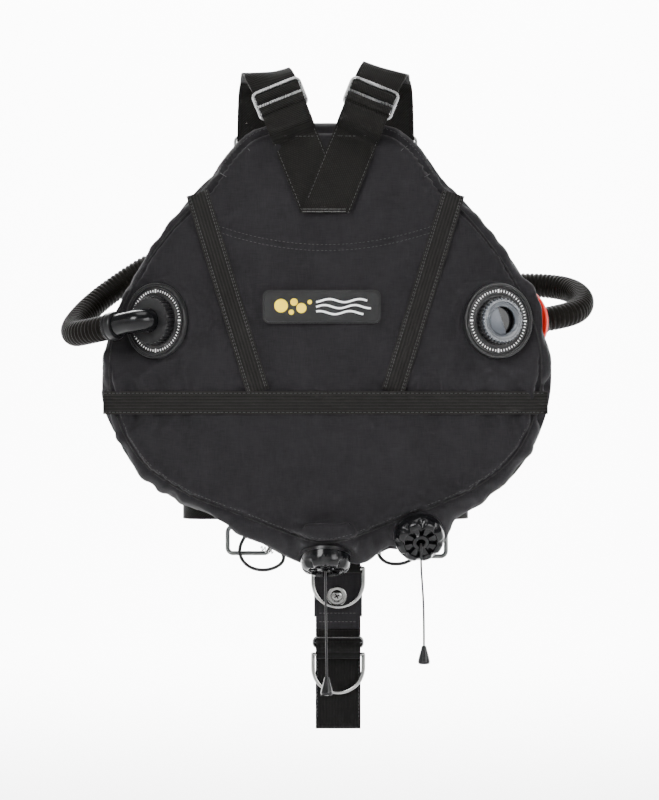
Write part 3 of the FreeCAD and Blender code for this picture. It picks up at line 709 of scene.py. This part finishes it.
def stitchRow(bm, points, normals, length=3.0, gap=1.7, thick=0.55):
    # a run of small raised threads along a line
    dense, total = resampled(points, 0.0008)
    pitch = (length + gap) * mm
    for k in range(int(total / pitch)):
        i = min(len(dense) - 2, round((k + 0.5) * pitch / total * (len(dense) - 1)))
        ahead = (dense[i + 1] - dense[i - 1 if i else 0]).normalized()
        j = min(len(normals) - 1, round(i / len(dense) * len(normals)))
        up = normals[j]
        side = ahead.cross(up).normalized()
        up = side.cross(ahead)
        turn = Matrix((ahead, side, up)).transposed().to_4x4()
        block(bm, Matrix.Translation(dense[i]) @ turn, (length, thick, thick * 0.6))


def tapeStitches(bm, frames, offset, lift, length=3.0, gap=1.7):
    # a row of stitches on a tape's outer side
    points, ups = [], []
    for centre, side, normal in frames:
        up = -normal if normal.dot(outward) < 0 else normal
        points.append(centre + side * offset * mm + up * lift * mm)
        ups.append(up)
    stitchRow(bm, points, ups, length, gap)


def surfaceTape(name, start, end, replaces, lift):
    # a tape sewn flat on the outer cloth between two (x, z) places in mm
    a, b = Vector(start), Vector(end)
    run = b - a
    across2 = Vector((-run.y, run.x)).normalized()
    steps = max(12, int(run.length / 7))
    width = tapes["width"]
    stations = []
    for i in range(steps + 1):
        p = a + run * (i / steps)
        reach = [outerFace(p.x + across2.x * k * width, p.y + across2.y * k * width)
                 for k in (-0.45, -0.2, 0, 0.2, 0.45)]
        y = min(reach) - lift * mm
        stations.append((Vector((p.x * mm, y, p.y * mm)), Vector((across2.x, 0, across2.y))))
    ys = [s[0].y for s in stations]
    for i in range(1, len(ys) - 1):
        stations[i][0].y = (ys[i - 1] + 2 * ys[i] + ys[i + 1]) / 4
    return ribbon(name, stations, width, tapes["thickness"], ribbedTape, replaces)


tapes = {"width": 25, "thickness": 1.6, "crossRows": (-10.4, 10.4),
         "diagonalRows": (-10.4, -8.6, 8.6, 10.4)}


def makeTapes():
    cross = surfaceTape("crossTape", (-243, -362), (243, -362), ("cross_band",), 1.0)
    sewn = bmesh.new()
    for offset in tapes["crossRows"]:
        tapeStitches(sewn, cross, offset, 1.0)
    for side, name in ((-1, "leftDiagonalTape"), (1, "rightDiagonalTape")):
        frames = surfaceTape(name, (side * 140, -133), (side * 73, -350), ("diagonal_bands",), 0.8)
        for offset in tapes["diagonalRows"]:
            tapeStitches(sewn, frames, offset, 1.0, 2.2, 1.6)
    finished("tapeStitches", sewn, thread, smooth=False)


print("tapes")
makeTapes()


def onCloth(x, z, lift=0.3):
    return Vector((x * mm, outerFace(x, z) - lift * mm, z * mm))


def makeShellStitches():
    # the gusset seam, the yoke seam and the top edge, with short bar tacks; a near-black cord in
    # the gusset seam's groove is painted shade of the fold
    bm = bmesh.new()
    facing = [outward]
    shadeCordMesh = bmesh.new()
    for inset, kind in ((-4.5, "stitch"), (0.0, "shadeCord")):
        line = []
        for p in rim:
            share = seamShare(p.x, p.y) + inset / seamReach
            x, z = p.x * share, middleZ + (p.y - middleZ) * share
            line.append(onCloth(x, z, 0.3 if kind == "stitch" else -0.2))
        line = [p for p in line if p.y < -0.008]
        below = sorted((p for p in line if p.z < -0.372),
                       key=lambda p: math.atan2(p.x, -(p.z - middleZ * mm)))
        if kind == "stitch":
            stitchRow(bm, below, facing, 2.4, 1.9, 0.45)
            continue
        # the near-black cord in the seam groove: painted shade of the folded seam
        tubeAlong(shadeCordMesh, smoothRoute(below, 3), lambda i: 0.0009, sides=8)
        for side in (-1, 1):
            beside = sorted((p for p in line if p.x * side > 0.13 and p.z > -0.352),
                            key=lambda p: -p.z)
            tubeAlong(shadeCordMesh, smoothRoute(beside, 3), lambda i: 0.0009, sides=8)
    finished("seamShadeCord", shadeCordMesh, seamShadow)
    for drop in (-4, 2.5):
        curve = [onCloth(x, yokeHeight(x) + drop) for x in range(-130, 131, 5)]
        stitchRow(bm, curve, facing, 2.4, 2.2, 0.4)
    for side in (-1, 1):
        edge = []
        for p in rim:
            if p.x * side > 26 and p.y > -128:
                share = 1 - 9 / math.hypot(p.x, p.y - middleZ)
                edge.append(onCloth(p.x * share, middleZ + (p.y - middleZ) * share))
        edge.sort(key=lambda p: -p.z)
        stitchRow(bm, edge, facing, 2.4, 2.0, 0.4)
        for x, z, angle in ((86, -84, 40), (112, -113, 35), (131, -134, 30)):
            turn = math.radians(angle)
            run = Vector((math.cos(turn) * side, -math.sin(turn) * -1))
            tack = [onCloth(side * x + run.x * k, z + run.y * k, 0.4) for k in (-5, -2, 2, 5)]
            stitchRow(bm, tack, facing, 2.6, 0.3, 0.7)
    finished("shellStitches", bm, thread, smooth=False)


print("shell stitches")
makeShellStitches()


# harness

harness = {"width": 50, "thickness": 2.4, "shoulderThickness": 2.2, "angle": 21.7, "foot": -156,
           "rear": 66}


sideways = Vector((1, 0, 0))


def slideDepth(side):
    ys = [v.co.y for v in nodes["shoulder_slides"].data.vertices if v.co.x * side > 0]
    return (min(ys) + max(ys)) / 2 / mm


def makeShoulderTape(side, name, cadName):
    angle = math.radians(harness["angle"])
    across = Vector((math.cos(angle), 0, -side * math.sin(angle)))
    deep = slideDepth(side)
    over = 1.6 if side < 0 else 4.6

    def atHeight(z):
        return side * (z - harness["foot"]) * math.tan(angle)

    stations = []
    for z in (-172, -156, -140, -122, -104, -88, -72):
        x = atHeight(z)
        reach = [outerFace(x + across.x * k, z + across.z * k) / mm
                 for k in (-24, -12, 0, 12, 24)]
        y = (min(reach) + sum(reach) / 5) / 2 - over
        stations.append((vec(x, y, z), across))
    last = stations[-1][0].y / mm
    rolls = [(-62, min(last, deep - 1.6)), (-55, deep - 2.8), (-50, deep - 3.9),
             (-46.5, deep - 4.3), (-44.0, deep - 3.9), (-42.7, deep - 1.2), (-41.6, deep - 2.6),
             (-40.0, deep - 4.6), (-37.6, deep - 5.0), (-35.4, deep - 3.4), (-33.8, deep + 0.4),
             (-32, deep + 3.2), (-30.0, deep + 0.6), (-28.2, deep - 2.2), (-25.6, deep - 3.4),
             (-22.8, deep - 2.4), (-20.4, deep + 0.8), (-17.8, deep + 3.4)]
    for z, y in rolls:
        stations.append((vec(atHeight(z), y, z), across))
    lean, rise = (0.05, 0) if side < 0 else (0.27, 3.4)
    flat = Vector((1, 0, -side * lean))
    rear = harness["rear"]
    for x, y, z, way in (
            (58.5, deep + 8.5, -11 + rise / 2, Vector((1, 0, -side * 0.32))),
            (64, deep + 17, -3.0 + rise, flat), (66, deep + 24, -1.2 + rise, flat),
            (68, deep + 36, -1.4 + rise, flat), (70, rear - 24, -2.4 + rise, flat),
            (71, rear - 12, -7 + rise, flat),
            (73, rear - 3, -18, Vector((1, 0, -side * 0.04))), (74, rear, -40, sideways),
            (75, rear, -90, sideways), (77, rear + 2, -200, sideways),
            (80, rear + 10, -320, sideways), (82, 87, -438, sideways)):
        stations.append((vec(side * x, y, z), way))
    frames = ribbon(name, blended(stations), harness["width"], harness["shoulderThickness"],
                    twillTape, (cadName + "_yoke_strap", cadName + "_shoulder_strap"),
                    trimBelow=harness["foot"] * mm)
    sewn = bmesh.new()
    inFront = [f for f in frames if -0.150 < f[0].z < -0.066 and f[0].y < 0]
    for offset in (-23, 23):
        tapeStitches(sewn, inFront, offset, 1.3, 2.4, 2.0)
    height = -71.5
    slope = side * math.sin(angle) * math.cos(angle)
    line = []
    for k in range(-22, 23, 4):
        near = min(frames, key=lambda f: abs(f[0].z / mm - height - k * slope)
                   + (1000 if f[0].y > 0 else 0))
        line.append(Vector((atHeight(height) * mm + k * mm, near[0].y - 0.0014, height * mm)))
    stitchRow(sewn, line, [outward], 3.0, 1.4, 0.6)
    finished(name + "Stitches", sewn, thread, smooth=False)
    if side > 0:
        foot = bmesh.new()
        base = min(frames, key=lambda f: abs(f[0].z - harness["foot"] * mm))[0]
        for rise, thick in ((0.9, 0.9), (3.6, 0.6)):
            line = [Vector((k * mm, base.y - 0.0015, (harness["foot"] + rise) * mm))
                    for k in range(-25, 26, 3)]
            stitchRow(foot, line, [outward], 4.4, 0.3, thick)
        finished("yokeFootStitches", foot, paleThread, smooth=False)


print("harness")
makeShoulderTape(-1, "leftShoulderTape", "left")
makeShoulderTape(1, "rightShoulderTape", "right")


def makeBackTapes():
    width, thickness = harness["width"], harness["thickness"]
    stations = [(vec(0, 32.2, z), sideways) for z in range(-155, -441, -15)]
    ribbon("spineTape", stations, width, thickness, twillTape, ("spine_strap",))
    low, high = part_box("waist_belt")
    midY, reach = (low.y + high.y) / 2, (high.y - low.y - thickness * mm) / 2
    midZ, half = (low.z + high.z) / 2, high.x - thickness * mm / 2 - reach
    loop = []
    up = Vector((0, 0, 1))
    for way in (1, -1):
        for k in range(25):
            x = way * half * (k / 12 - 1)
            loop.append((Vector((x, midY + way * reach, midZ)), up))
        for k in range(1, 12):
            turn = math.pi * k / 12
            x = way * (half + reach * math.sin(turn))
            loop.append((Vector((x, midY + way * reach * math.cos(turn), midZ)), up))
    loop.append(loop[0])
    ribbon("waistTape", loop, width, thickness, twillTape, ("waist_belt",))


crotch = {
    "x": 14, "y": 36, "thickness": 2.2, "coverWidth": 53.5, "flapWidth": 48, "bulgeWidth": 49,
    "coverThickness": 2.0,
}


def makeCrotchTape():
    x, y, thickness = crotch["x"], crotch["y"], crotch["thickness"]

    def stations(places, shift=0):
        return blended([(vec(x + shift, deep, z), sideways) for deep, z in places])

    ribbon("crotchTape", stations([(y + 0.2, z) for z in (-500, -530, -560, -590, -612, -634)]),
           harness["width"], thickness, twillTape, ("crotch_strap",))
    ribbon("crotchCover", stations([(33.6, z) for z in (-543, -560, -580, -590, -600)]),
           crotch["coverWidth"], crotch["coverThickness"], fabric)
    ribbon("crotchFlap", stations([(34.0, -596), (33.2, -603), (32.8, -609), (33.4, -613.5)], -1),
           crotch["flapWidth"], crotch["coverThickness"], fabric)
    sewn = bmesh.new()
    for z, front in ((-596, 32.5), (-605.5, 31.8)):
        line = [vec(x + k, front, z) for k in range(-22, 23, 4)]
        stitchRow(sewn, line, [outward], 2.6, 1.6, 0.5)
    for edge in (-23, 23):
        line = [vec(x + edge, 30.6, z) for z in range(-648, -716, -6)]
        stitchRow(sewn, line, [outward], 2.4, 1.6, 0.5)
    finished("crotchStitches", sewn, thread, smooth=False)
    foot = [(y - 3.8, -719), (y - 2.4, -722.6), (y, -723.8), (y + 2.4, -722.6), (y + 3.8, -719)]
    loop = [(y - 4.2, z) for z in (-634.5, -660, -690, -712)] + foot
    loop += [(y + 4.2, z) for z in (-712, -690, -660, -636)]
    ribbon("crotchLoopTape", stations(loop), harness["width"], thickness, darkTape,
           ("crotch_end_loop",))
    bulge = [(33.6, -615), (31.0, -620), (28.6, -624), (25.4, -627), (21.4, -629.5),
             (19.6, -633.5), (21.0, -637.5), (25.4, -640), (30.2, -640.5)]
    ribbon("slideTape", stations(bulge), crotch["bulgeWidth"], thickness, darkTape)


screw = {
    "place": (12.5, 32.4, -577), "slot": (6.4, 1.3, 0.9), "slotTurn": 0.5, "slotHeight": 3.75,
    "profile": [(0, 0), (11, 0), (11, 0.8), (10.4, 1.3), (8.2, 1.4), (7.4, 1.0), (6.9, 1.1),
                (6.7, 2.0), (5.8, 3.0), (4.0, 3.7), (2.0, 4.0), (0, 4.1)],
}


def makeScrew():
    # a washer under a domed, cross-slotted head; the cross slot is painted shade, two black bars
    # laid on the dome
    matrix = axisFrame(vec(*screw["place"]), outward)
    bm = bmesh.new()
    lathe(bm, screw["profile"], matrix, 48)
    smoothByAngle(finished("strapScrew", bm, brightWire, replaces=("book_screw",)))
    # black bars where the cross slot is: painted shade of the slot
    slotShadeBars = bmesh.new()
    for turn in (screw["slotTurn"], screw["slotTurn"] + math.pi / 2):
        spot = Matrix.Rotation(turn, 4, "Z") @ Matrix.Translation(vec(0, 0, screw["slotHeight"]))
        block(slotShadeBars, matrix @ spot, screw["slot"])
    finished("screwSlotShade", slotShadeBars, glossBlack, smooth=False)


print("belt and crotch strap")
makeBackTapes()
makeCrotchTape()
makeScrew()


# hoses

hoses = {
    "left": [(-235.8, -38, -280), (-262, -21, -285), (-279, 7, -287), (-280, 41, -275),
             (-262, 70, -252), (-232, 85, -228), (-198, 88, -206), (-166, 84, -197),
             (-141, 72, -208), (-131, 62, -236), (-131, 62, -264)],
    "reserve": [(245.8, 53.4, -268.7), (268, 59, -265), (288, 80, -257), (293, 111, -243),
                (281, 142, -231), (250, 160, -226), (213, 162, -226), (178, 147, -228),
                (152, 120, -236), (137, 89, -250), (131, 64, -270), (131, 64, -294)],
    "diameter": 28, "ribPitch": 5.0, "ribDepth": 1.5,
    "cuff": [(12.4, 0), (14.6, 0), (15.2, 0.6), (15.2, 2.4), (14.3, 3.0), (14.3, 4.2),
             (15.4, 4.8), (15.6, 5.6), (15.6, 10.8), (15.0, 11.8), (12.4, 12)],
}


def makeHose(name, key, cadNode):
    path = nurbsRoute(name + "Route", [vec(*p) for p in hoses[key]])
    dense, total = resampled(path, hoses["ribPitch"] / 6 * mm)
    outer = hoses["diameter"] / 2 * mm
    depth = hoses["ribDepth"] * mm
    shape = [outer - depth * cut for cut in (0, 0, 0.06, 0.45, 1.0, 0.45)]
    bm = bmesh.new()
    tubeAlong(bm, dense, lambda i: shape[i % 6], sides=32)
    piece = finished(name, bm, hoseRubber, replaces=(cadNode,))
    return axisFrame(path[0], (path[0] - path[1]).normalized())


def makeCuffs(ends):
    # a smooth collar, a groove and a second, narrower lip on each hose's port end
    bm = bmesh.new()
    for matrix in ends:
        lathe(bm, hoses["cuff"], matrix, 64)
    smoothByAngle(finished("hoseCollars", bm, satinBlack, replaces=("hose_cuffs",)))


print("hoses")
makeCuffs([makeHose("leftCorrugatedHose", "left", "left_hose"),
           makeHose("reserveCorrugatedHose", "reserve", "reserve_hose")])

pullCords = {
    "centre": [(0, -31.45, -545.25), (0.1, -31.4, -570), (0.9, -31.3, -615), (1.5, -31.45, -660.5)],
    "low": [(103.5, -46.8, -514.4), (103.5, -43, -538), (105, -40, -557), (107, -38, -588),
            (107, -38, -626)],
    "diameter": 2.4,
}


def makePullCord(name, key, body, cadCord):
    path = nurbsRoute(name + "Route", [vec(*p) for p in pullCords[key]])
    dense, total = resampled(path, 0.0015)
    bm = bmesh.new()
    tubeAlong(bm, dense, lambda i: pullCords["diameter"] / 2 * mm, sides=10)
    piece = finished(name, bm, satinBlack, body, (cadCord,))


makePullCord("centrePullCord", "centre", "centre_pull", "centre_pull_cord")
makePullCord("lowPullCord", "low", "right_pull", "right_pull_cord")

bungees = {
    "left": [(-80, 27, -499), (-92, 27, -512), (-97, 27, -530), (-86, 27, -545), (-66, 27, -549),
             (-47, 27, -541), (-46, 27, -528), (-62, 27, -521), (-66, 27, -499)],
    "right": [(64, 27, -499), (61, 27, -516), (57, 27, -530), (68, 27, -541), (88, 27, -541),
              (101, 27, -532), (103, 27, -514), (96, 27, -500)],
    "diameter": 4,
    "crimps": [((-72, 25, -523.5), (-58, 25, -527)), ((58, 25, -530), (67, 25, -520))],
    "crimpTurns": 4, "crimpRadius": 2.7, "wire": 1.2,
}


def makeBungees():
    bm = bmesh.new()
    for side in ("left", "right"):
        dense, _ = resampled(nurbsRoute("bungeeRoute", [vec(*p) for p in bungees[side]]), 0.002)
        tubeAlong(bm, dense, lambda i: bungees["diameter"] / 2 * mm, sides=14)
    finished("bungeeLoops", bm, satinBlack, replaces=("bungee_loops",))


makeBungees()


def makeCrimps():
    # a few turns of thin wire round each bungee
    bm = bmesh.new()
    turns, radius = bungees["crimpTurns"], bungees["crimpRadius"] * mm
    for start, end in bungees["crimps"]:
        a, run = vec(*start), vec(*end) - vec(*start)
        wound = axisFrame(a, run.normalized())
        helix = [wound @ Vector((radius * math.cos(t), radius * math.sin(t),
                                 run.length * t / (2 * math.pi * turns)))
                 for t in (k * math.pi / 8 for k in range(16 * turns + 1))]
        tubeAlong(bm, helix, lambda i: bungees["wire"] / 2 * mm, sides=8)
    finished("bungeeCrimps", bm, brightWire)


makeCrimps()


zipTeeth = {"pitch": 2.1, "tooth": (3.6, 1.4, 1.3), "tape": 0.8}


def makeZip():
    low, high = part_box("inner_zip")
    bm = bmesh.new()
    middle = (low + high) / 2
    tape = Matrix.Translation((middle.x, low.y + zipTeeth["tape"] * mm / 2, middle.z))
    block(bm, tape, ((high.x - low.x) / mm, zipTeeth["tape"], (high.z - low.z) / mm))
    finished("zipTape", bm, fabric, replaces=("inner_zip",), smooth=False)
    teeth = bmesh.new()
    pitch = zipTeeth["pitch"] * mm
    for k in range(int((high.z - low.z) / pitch)):
        side = 1 if k % 2 else -1
        place = (middle.x + side * 0.0012, low.y + 0.0015, low.z + (k + 0.5) * pitch)
        block(teeth, Matrix.Translation(place), zipTeeth["tooth"])
    finished("zipTeeth", teeth, satinBlack, smooth=False)


makeZip()


# ports and valves

def knurledRing(bm, matrix, teeth, outer, valley, inner, low, high):
    # a ring with square teeth round it, from one height to another, in mm
    count = teeth * 4
    loops = [bmesh.ops.create_circle(bm, segments=count, radius=1)["verts"]]
    levels = [(low, 0), (high - 1.0, 0), (high, 0.8), (high, None), (low, None)]
    for _ in levels[1:]:
        loops.append(extrudedRow(bm, loops[-1]))
    for ring, (level, cut) in zip(loops, levels):
        for k, v in enumerate(ring):
            angle = 2 * math.pi * k / count
            radius = inner if cut is None else (outer if k % 4 < 2 else valley) - cut
            v.co = Vector((math.cos(angle) * radius, math.sin(angle) * radius, level)) * mm
    bmesh.ops.bridge_loops(bm, edges=[e for ring in (loops[0], loops[-1])
                                      for e in {e for v in ring for e in v.link_edges}
                                      if e.verts[0] in set(ring) and e.verts[1] in set(ring)])
    made = [v for ring in loops for v in ring]
    bmesh.ops.recalc_face_normals(bm, faces=list({f for v in made for f in v.link_faces}))
    bmesh.ops.transform(bm, matrix=matrix, verts=made)


flange = {
    "ticks": 60, "longEvery": 15, "shortTick": (2.2, 0.9, 0.3), "longTick": (3.8, 1.5, 0.3),
    "tickPlace": (32.4, 0, 4.45),
    "profile": [(16, -7), (23, -7), (23, 0), (40.2, 0), (41, 1), (41, 5.4), (40.4, 6.3),
                (39.2, 6.5), (38.2, 6.1), (37.9, 5.2), (37.4, 5.1), (37.0, 5.8), (36.2, 6.0),
                (35.6, 5.4), (35.3, 4.4), (29.6, 4.2), (28.6, 4.6), (28.0, 5.6), (23.5, 5.6),
                (23.5, 11), (16, 11)],
}


def makeFlange(name, key, material, cadNode, marks):
    place, axis, _ = seats[key]
    matrix = axisFrame(place, axis)
    bm = bmesh.new()
    lathe(bm, flange["profile"], matrix, 96)
    smoothByAngle(finished(name, bm, material, replaces=(cadNode,)))
    if not marks:
        return
    ring = bmesh.new()
    for k in range(flange["ticks"]):
        turn = Matrix.Rotation(2 * math.pi * k / flange["ticks"], 4, "Z")
        tick = flange["longTick" if k % flange["longEvery"] == 0 else "shortTick"]
        block(ring, matrix @ turn @ Matrix.Translation(vec(*flange["tickPlace"])), tick)
    finished(name + "Marks", ring, whiteMark, smooth=False)


def makePorts():
    makeFlange("leftFlange", "left", mattRubber, "left_port_flange", True)
    makeFlange("rightFlange", "right", mattRubber, "right_port_flange", True)
    makeFlange("reserveFlange", "reserve", redRubber, "reserve_port_flange", False)
    for key, name, cadNode in (("left", "leftNut", "left_port_nut"),
                               ("reserve", "reserveNut", "reserve_port_nut")):
        place, axis, _ = seats[key]
        bm = bmesh.new()
        knurledRing(bm, axisFrame(place, axis), 36, 26.5, 25.2, 12.7, 6, 16)
        smoothByAngle(finished(name, bm, satinBlack, replaces=(cadNode,)))
    place, axis, _ = seats["right"]
    matrix = axisFrame(place, axis)
    bm = bmesh.new()
    knurledRing(bm, matrix, 36, 26.2, 25.0, 23.7, 6, 12.6)
    smoothByAngle(finished("spareNut", bm, satinBlack))
    bm = bmesh.new()
    knurledRing(bm, matrix, 36, 24.4, 23.0, 20.5, 12.7, 16.2)
    lathe(bm, [(15, 12.8), (20.6, 12.8), (20.6, 15.8), (19.6, 16.6), (17.5, 16.4), (15.6, 15.4),
               (15, 14.2)], matrix, 72)
    smoothByAngle(finished("plugRing", bm, smokedPlastic,
                           replaces=("right_port_nut",)))
    bm = bmesh.new()
    lathe(bm, [(0, 5.6), (14.9, 5.6), (14.9, 7.2), (0, 7.2)], matrix, 48)
    smoothByAngle(finished("plugFloor", bm, glossBlack))
    makeHalfPlate(matrix)


plug = {"turn": 20.0, "plateRadius": 14.85, "plateHeight": 11.6, "plateThickness": 2.2}


def makeHalfPlate(matrix):
    # the light half-moon in the plug's mouth
    bm = bmesh.new()
    radius = plug["plateRadius"]
    arc = [bm.verts.new(vec(radius * math.cos(a), radius * math.sin(a), plug["plateHeight"]))
           for a in (math.radians(d) for d in range(90, 271, 6))]
    face = bm.faces.new(arc)
    grown = bmesh.ops.extrude_face_region(bm, geom=[face])["geom"]
    top = [g for g in grown if isinstance(g, bmesh.types.BMVert)]
    bmesh.ops.translate(bm, verts=top, vec=(0, 0, plug["plateThickness"] * mm))
    bmesh.ops.recalc_face_normals(bm, faces=bm.faces)
    edges = [e for e in bm.edges if all(v in top for v in e.verts)]
    bmesh.ops.bevel(bm, geom=edges, offset=0.0006, segments=2, profile=0.5, affect="EDGES",
                    material=-1)
    plateTurn = matrix @ Matrix.Rotation(math.radians(plug["turn"]), 4, "Z")
    bmesh.ops.transform(bm, matrix=plateTurn, verts=bm.verts)
    smoothByAngle(finished("plugHalfPlate", bm, palePlastic,
                           replaces=("right_port_plug",)))


# each level of the cap: radius, height and how deep its scallops are
valveCap = {
    "scallops": 8, "scallopDepth": 4.6, "slotDepth": 4.0, "wall": 1.4, "steps": 96,
    "levels": [(23.2, 3.8, 0), (26.5, 3.8, 0), (27, 4.3, 0), (27, 9, 0), (26.9, 12.6, 0),
               (26.8, 13.2, 0.12), (26.4, 15.2, 0.7), (25.4, 17.8, 1.0), (23.6, 20.0, 1.0),
               (21.6, 20.9, 0.8), (18.9, 21, 0.3), (18.2, 20.5, 0), (17.6, 18.8, 0),
               (9.5, 18.6, 0), (8.6, 19.8, 0), (5.0, 20.2, 0), (4.2, 19.4, 0), (4.0, 16, 0)],
}


def makeValveCap(name, key):
    # a glossy skirt, eight scallops round its outer end and a slotted face
    place, axis, _ = seats[key]
    matrix = axisFrame(place, axis)
    bm = bmesh.new()
    ring = bmesh.ops.create_circle(bm, segments=valveCap["steps"], radius=1)["verts"]
    for i, (radius, height, scallop) in enumerate(valveCap["levels"]):
        if i:
            ring = extrudedRow(bm, ring)
        for k, v in enumerate(ring):
            angle = 2 * math.pi * k / valveCap["steps"]
            swing = math.cos(valveCap["scallops"] * angle)
            r = radius - scallop * valveCap["scallopDepth"] * max(0.0, swing) ** 1.6
            inSlot = 9 < radius < 18 and swing > 0.2
            level = height - valveCap["slotDepth"] * inSlot
            v.co = vec(math.cos(angle) * r, math.sin(angle) * r, level)
    bmesh.ops.recalc_face_normals(bm, faces=bm.faces)
    bmesh.ops.transform(bm, matrix=matrix, verts=bm.verts)
    piece = finished(name, bm, glossBlack, replaces=("valve_caps",))
    wall = piece.modifiers.new("wall", "SOLIDIFY")
    wall.thickness = valveCap["wall"] * mm
    wall.offset = -1
    applied(piece)
    return smoothByAngle(piece, 42)


print("ports and valves")
makePorts()
makeValveCap("centreValveCap", "centre")
makeValveCap("lowValveCap", "low")


# patch

patch = {
    "centre": (-4, -258), "width": 128, "height": 36, "corner": 7, "thickness": 2,
    "bubbles": [(-44, 1, 7.5), (-30, 5, 4.2), (-33, -6, 3.0), (-22, -1.5, 5.6), (-13, 5, 2.6)],
    "waves": [(6.5, 50), (0, 54), (-6.5, 46)], "waveRise": 1.7, "waveRun": 5.2,
}


def makePatch():
    cx, cz = patch["centre"]
    y = min(outerFace(cx + k, cz) for k in (-60, -30, 0, 30, 60)) / mm - 0.3
    bm = bmesh.new()
    block(bm, Matrix.Translation(vec(cx, y - patch["thickness"] / 2, cz)),
          (patch["width"], patch["thickness"], patch["height"]))
    upright = [e for e in bm.edges if abs(e.verts[0].co.y - e.verts[1].co.y) > 0.001]
    bmesh.ops.bevel(bm, geom=upright, offset=patch["corner"] * mm, segments=8, profile=0.5,
                    affect="EDGES", material=-1)
    front = min(bm.faces, key=lambda f: f.calc_center_median().y)
    bmesh.ops.inset_region(bm, faces=[front], thickness=0.0016, depth=0.0)
    bmesh.ops.inset_region(bm, faces=[front], thickness=0.0006, depth=-0.0009)
    bmesh.ops.recalc_face_normals(bm, faces=bm.faces)
    smoothByAngle(finished("plainPatch", bm, mattRubber,
                           replaces=("rubber_patch",)), 30)
    top = y - 1.3
    bubbles = bmesh.new()
    for x, z, r in patch["bubbles"]:
        spot = Matrix.Translation(vec(cx + x, top, cz + z)) @ Matrix.Rotation(math.pi / 2, 4, "X")
        bmesh.ops.create_cone(bubbles, cap_ends=True, segments=36, radius1=r * mm,
                              radius2=(r - 0.5) * mm, depth=0.0010, matrix=spot)
    smoothByAngle(finished("patchBubbles", bubbles, yellowMark), 30)
    waves = bmesh.new()
    for row, (z, reach) in enumerate(patch["waves"]):
        line = [vec(cx + x, top, cz + z + patch["waveRise"] * math.sin(x / patch["waveRun"] + row))
                for x in range(-6, reach)]
        tubeAlong(waves, line, lambda i: 0.0011, sides=8)
    finished("patchWaves", waves, whiteMark)


print("patch")
makePatch()


# finishes of the parts that keep their CAD shape

cadFinishes = {
    "shoulder_slides": knurledWire, "chest_slides": knurledWire, "crotch_slide": shadedWire,
    "left_chest_ring": brightWire, "right_chest_ring": brightWire,
    "upper_crotch_ring": brightWire, "lower_crotch_ring": brightWire,
    "buckle_frame": brushedPlate, "buckle_flap": brushedPlate, "lumbar_plate": brushedPlate,
    "split_rings": brightWire, "tank_rails": greyWire,
    "left_elbow": glossBlack, "reserve_elbow": glossBlack,
    "valve_bases": satinBlack, "centre_valve_disc": satinBlack, "right_valve_disc": satinBlack,
    "left_inflator_body": satinBlack, "reserve_inflator_body": satinBlack,
    "mouthpieces": mattRubber, "left_inflate_button": blueButton,
    "reserve_inflate_button": blueButton, "left_exhaust_button": redButton,
    "reserve_exhaust_button": redButton, "centre_pull_knob": glossBlack,
    "right_pull_knob": glossBlack, "zip_slider": brushedPlate,
    "bar_keepers": twillTape,
}
for node, material in cadFinishes.items():
    mesh = nodes[node].data
    mesh.materials.clear()
    mesh.materials.append(material)


# studio

studio = {"floor": -1.05, "reach": 4.5, "bend": 2.0, "wall": 3.4, "world": 0.22}
# each lamp: place, what it points at, size in metres and power
lights = {
    "keyLight": ((-1.2, -2.2, 1.2), (0, 0, -0.33), 1.1, 80),
    "fillLight": ((1.8, -1.9, 0.25), (0, 0, -0.33), 1.2, 44),
    "topLight": ((0.1, -0.4, 1.7), (0, 0, -0.33), 1.2, 22),
    "rearLight": ((-0.9, 1.9, 1.5), (0, 0, -0.33), 1.4, 16),
    "backdropLight": ((0, 4.2, 2.9), (0, 6.4, -0.6), 4.0, 1640),
    "floorLight": ((0, 2.6, 2.6), (0, 4.2, -1.05), 3.0, 330),
}


def makeStudio():
    # one round pale sheet: a flat floor, a wide curve and an upright wall
    bm = bmesh.new()
    reach, bend, wall = studio["reach"], studio["bend"], studio["wall"]
    profile = [(0, 0), (reach, 0)]
    for k in range(1, 13):
        turn = math.pi / 2 * k / 12
        profile.append((reach + bend * math.sin(turn), bend * (1 - math.cos(turn))))
    profile.append((reach + bend, wall))
    lathe(bm, [(r / mm, h / mm) for r, h in profile],
          Matrix.Translation((0, 0, studio["floor"])), 96)
    mesh = meshFrom("floor", bm)
    smoothFaces(mesh)
    floor = linked("floor", mesh)
    mesh.materials.append(nodeMaterial("paleFloor", (0.94, 0.94, 0.94), 0.9)[0])
    world = bpy.data.worlds.new("studio")
    world.use_nodes = True
    setInputs(world.node_tree.nodes["Background"],
              {"Color": (1, 1, 1, 1), "Strength": studio["world"]})
    bpy.context.scene.world = world
    for name, (place, aim, size, power) in lights.items():
        light = bpy.data.lights.new(name, "AREA")
        light.size = size
        light.energy = power
        lamp = linked(name, light)
        lamp.location = place
        turn = (Vector(aim) - Vector(place)).to_track_quat("-Z", "Y")
        lamp.rotation_euler = turn.to_euler()


view = {"place": (0.0044, -3.0, -0.359), "sensor": 36, "shownWidth": 0.88}


def makeCamera():
    camera = bpy.data.cameras.new("camera")
    camera.lens = view["sensor"] * -view["place"][1] / view["shownWidth"]
    camera.sensor_width = view["sensor"]
    holder = linked("camera", camera)
    holder.location = view["place"]
    holder.rotation_euler = (math.pi / 2, 0, 0)
    bpy.context.scene.camera = holder


print("studio")
makeStudio()
makeCamera()
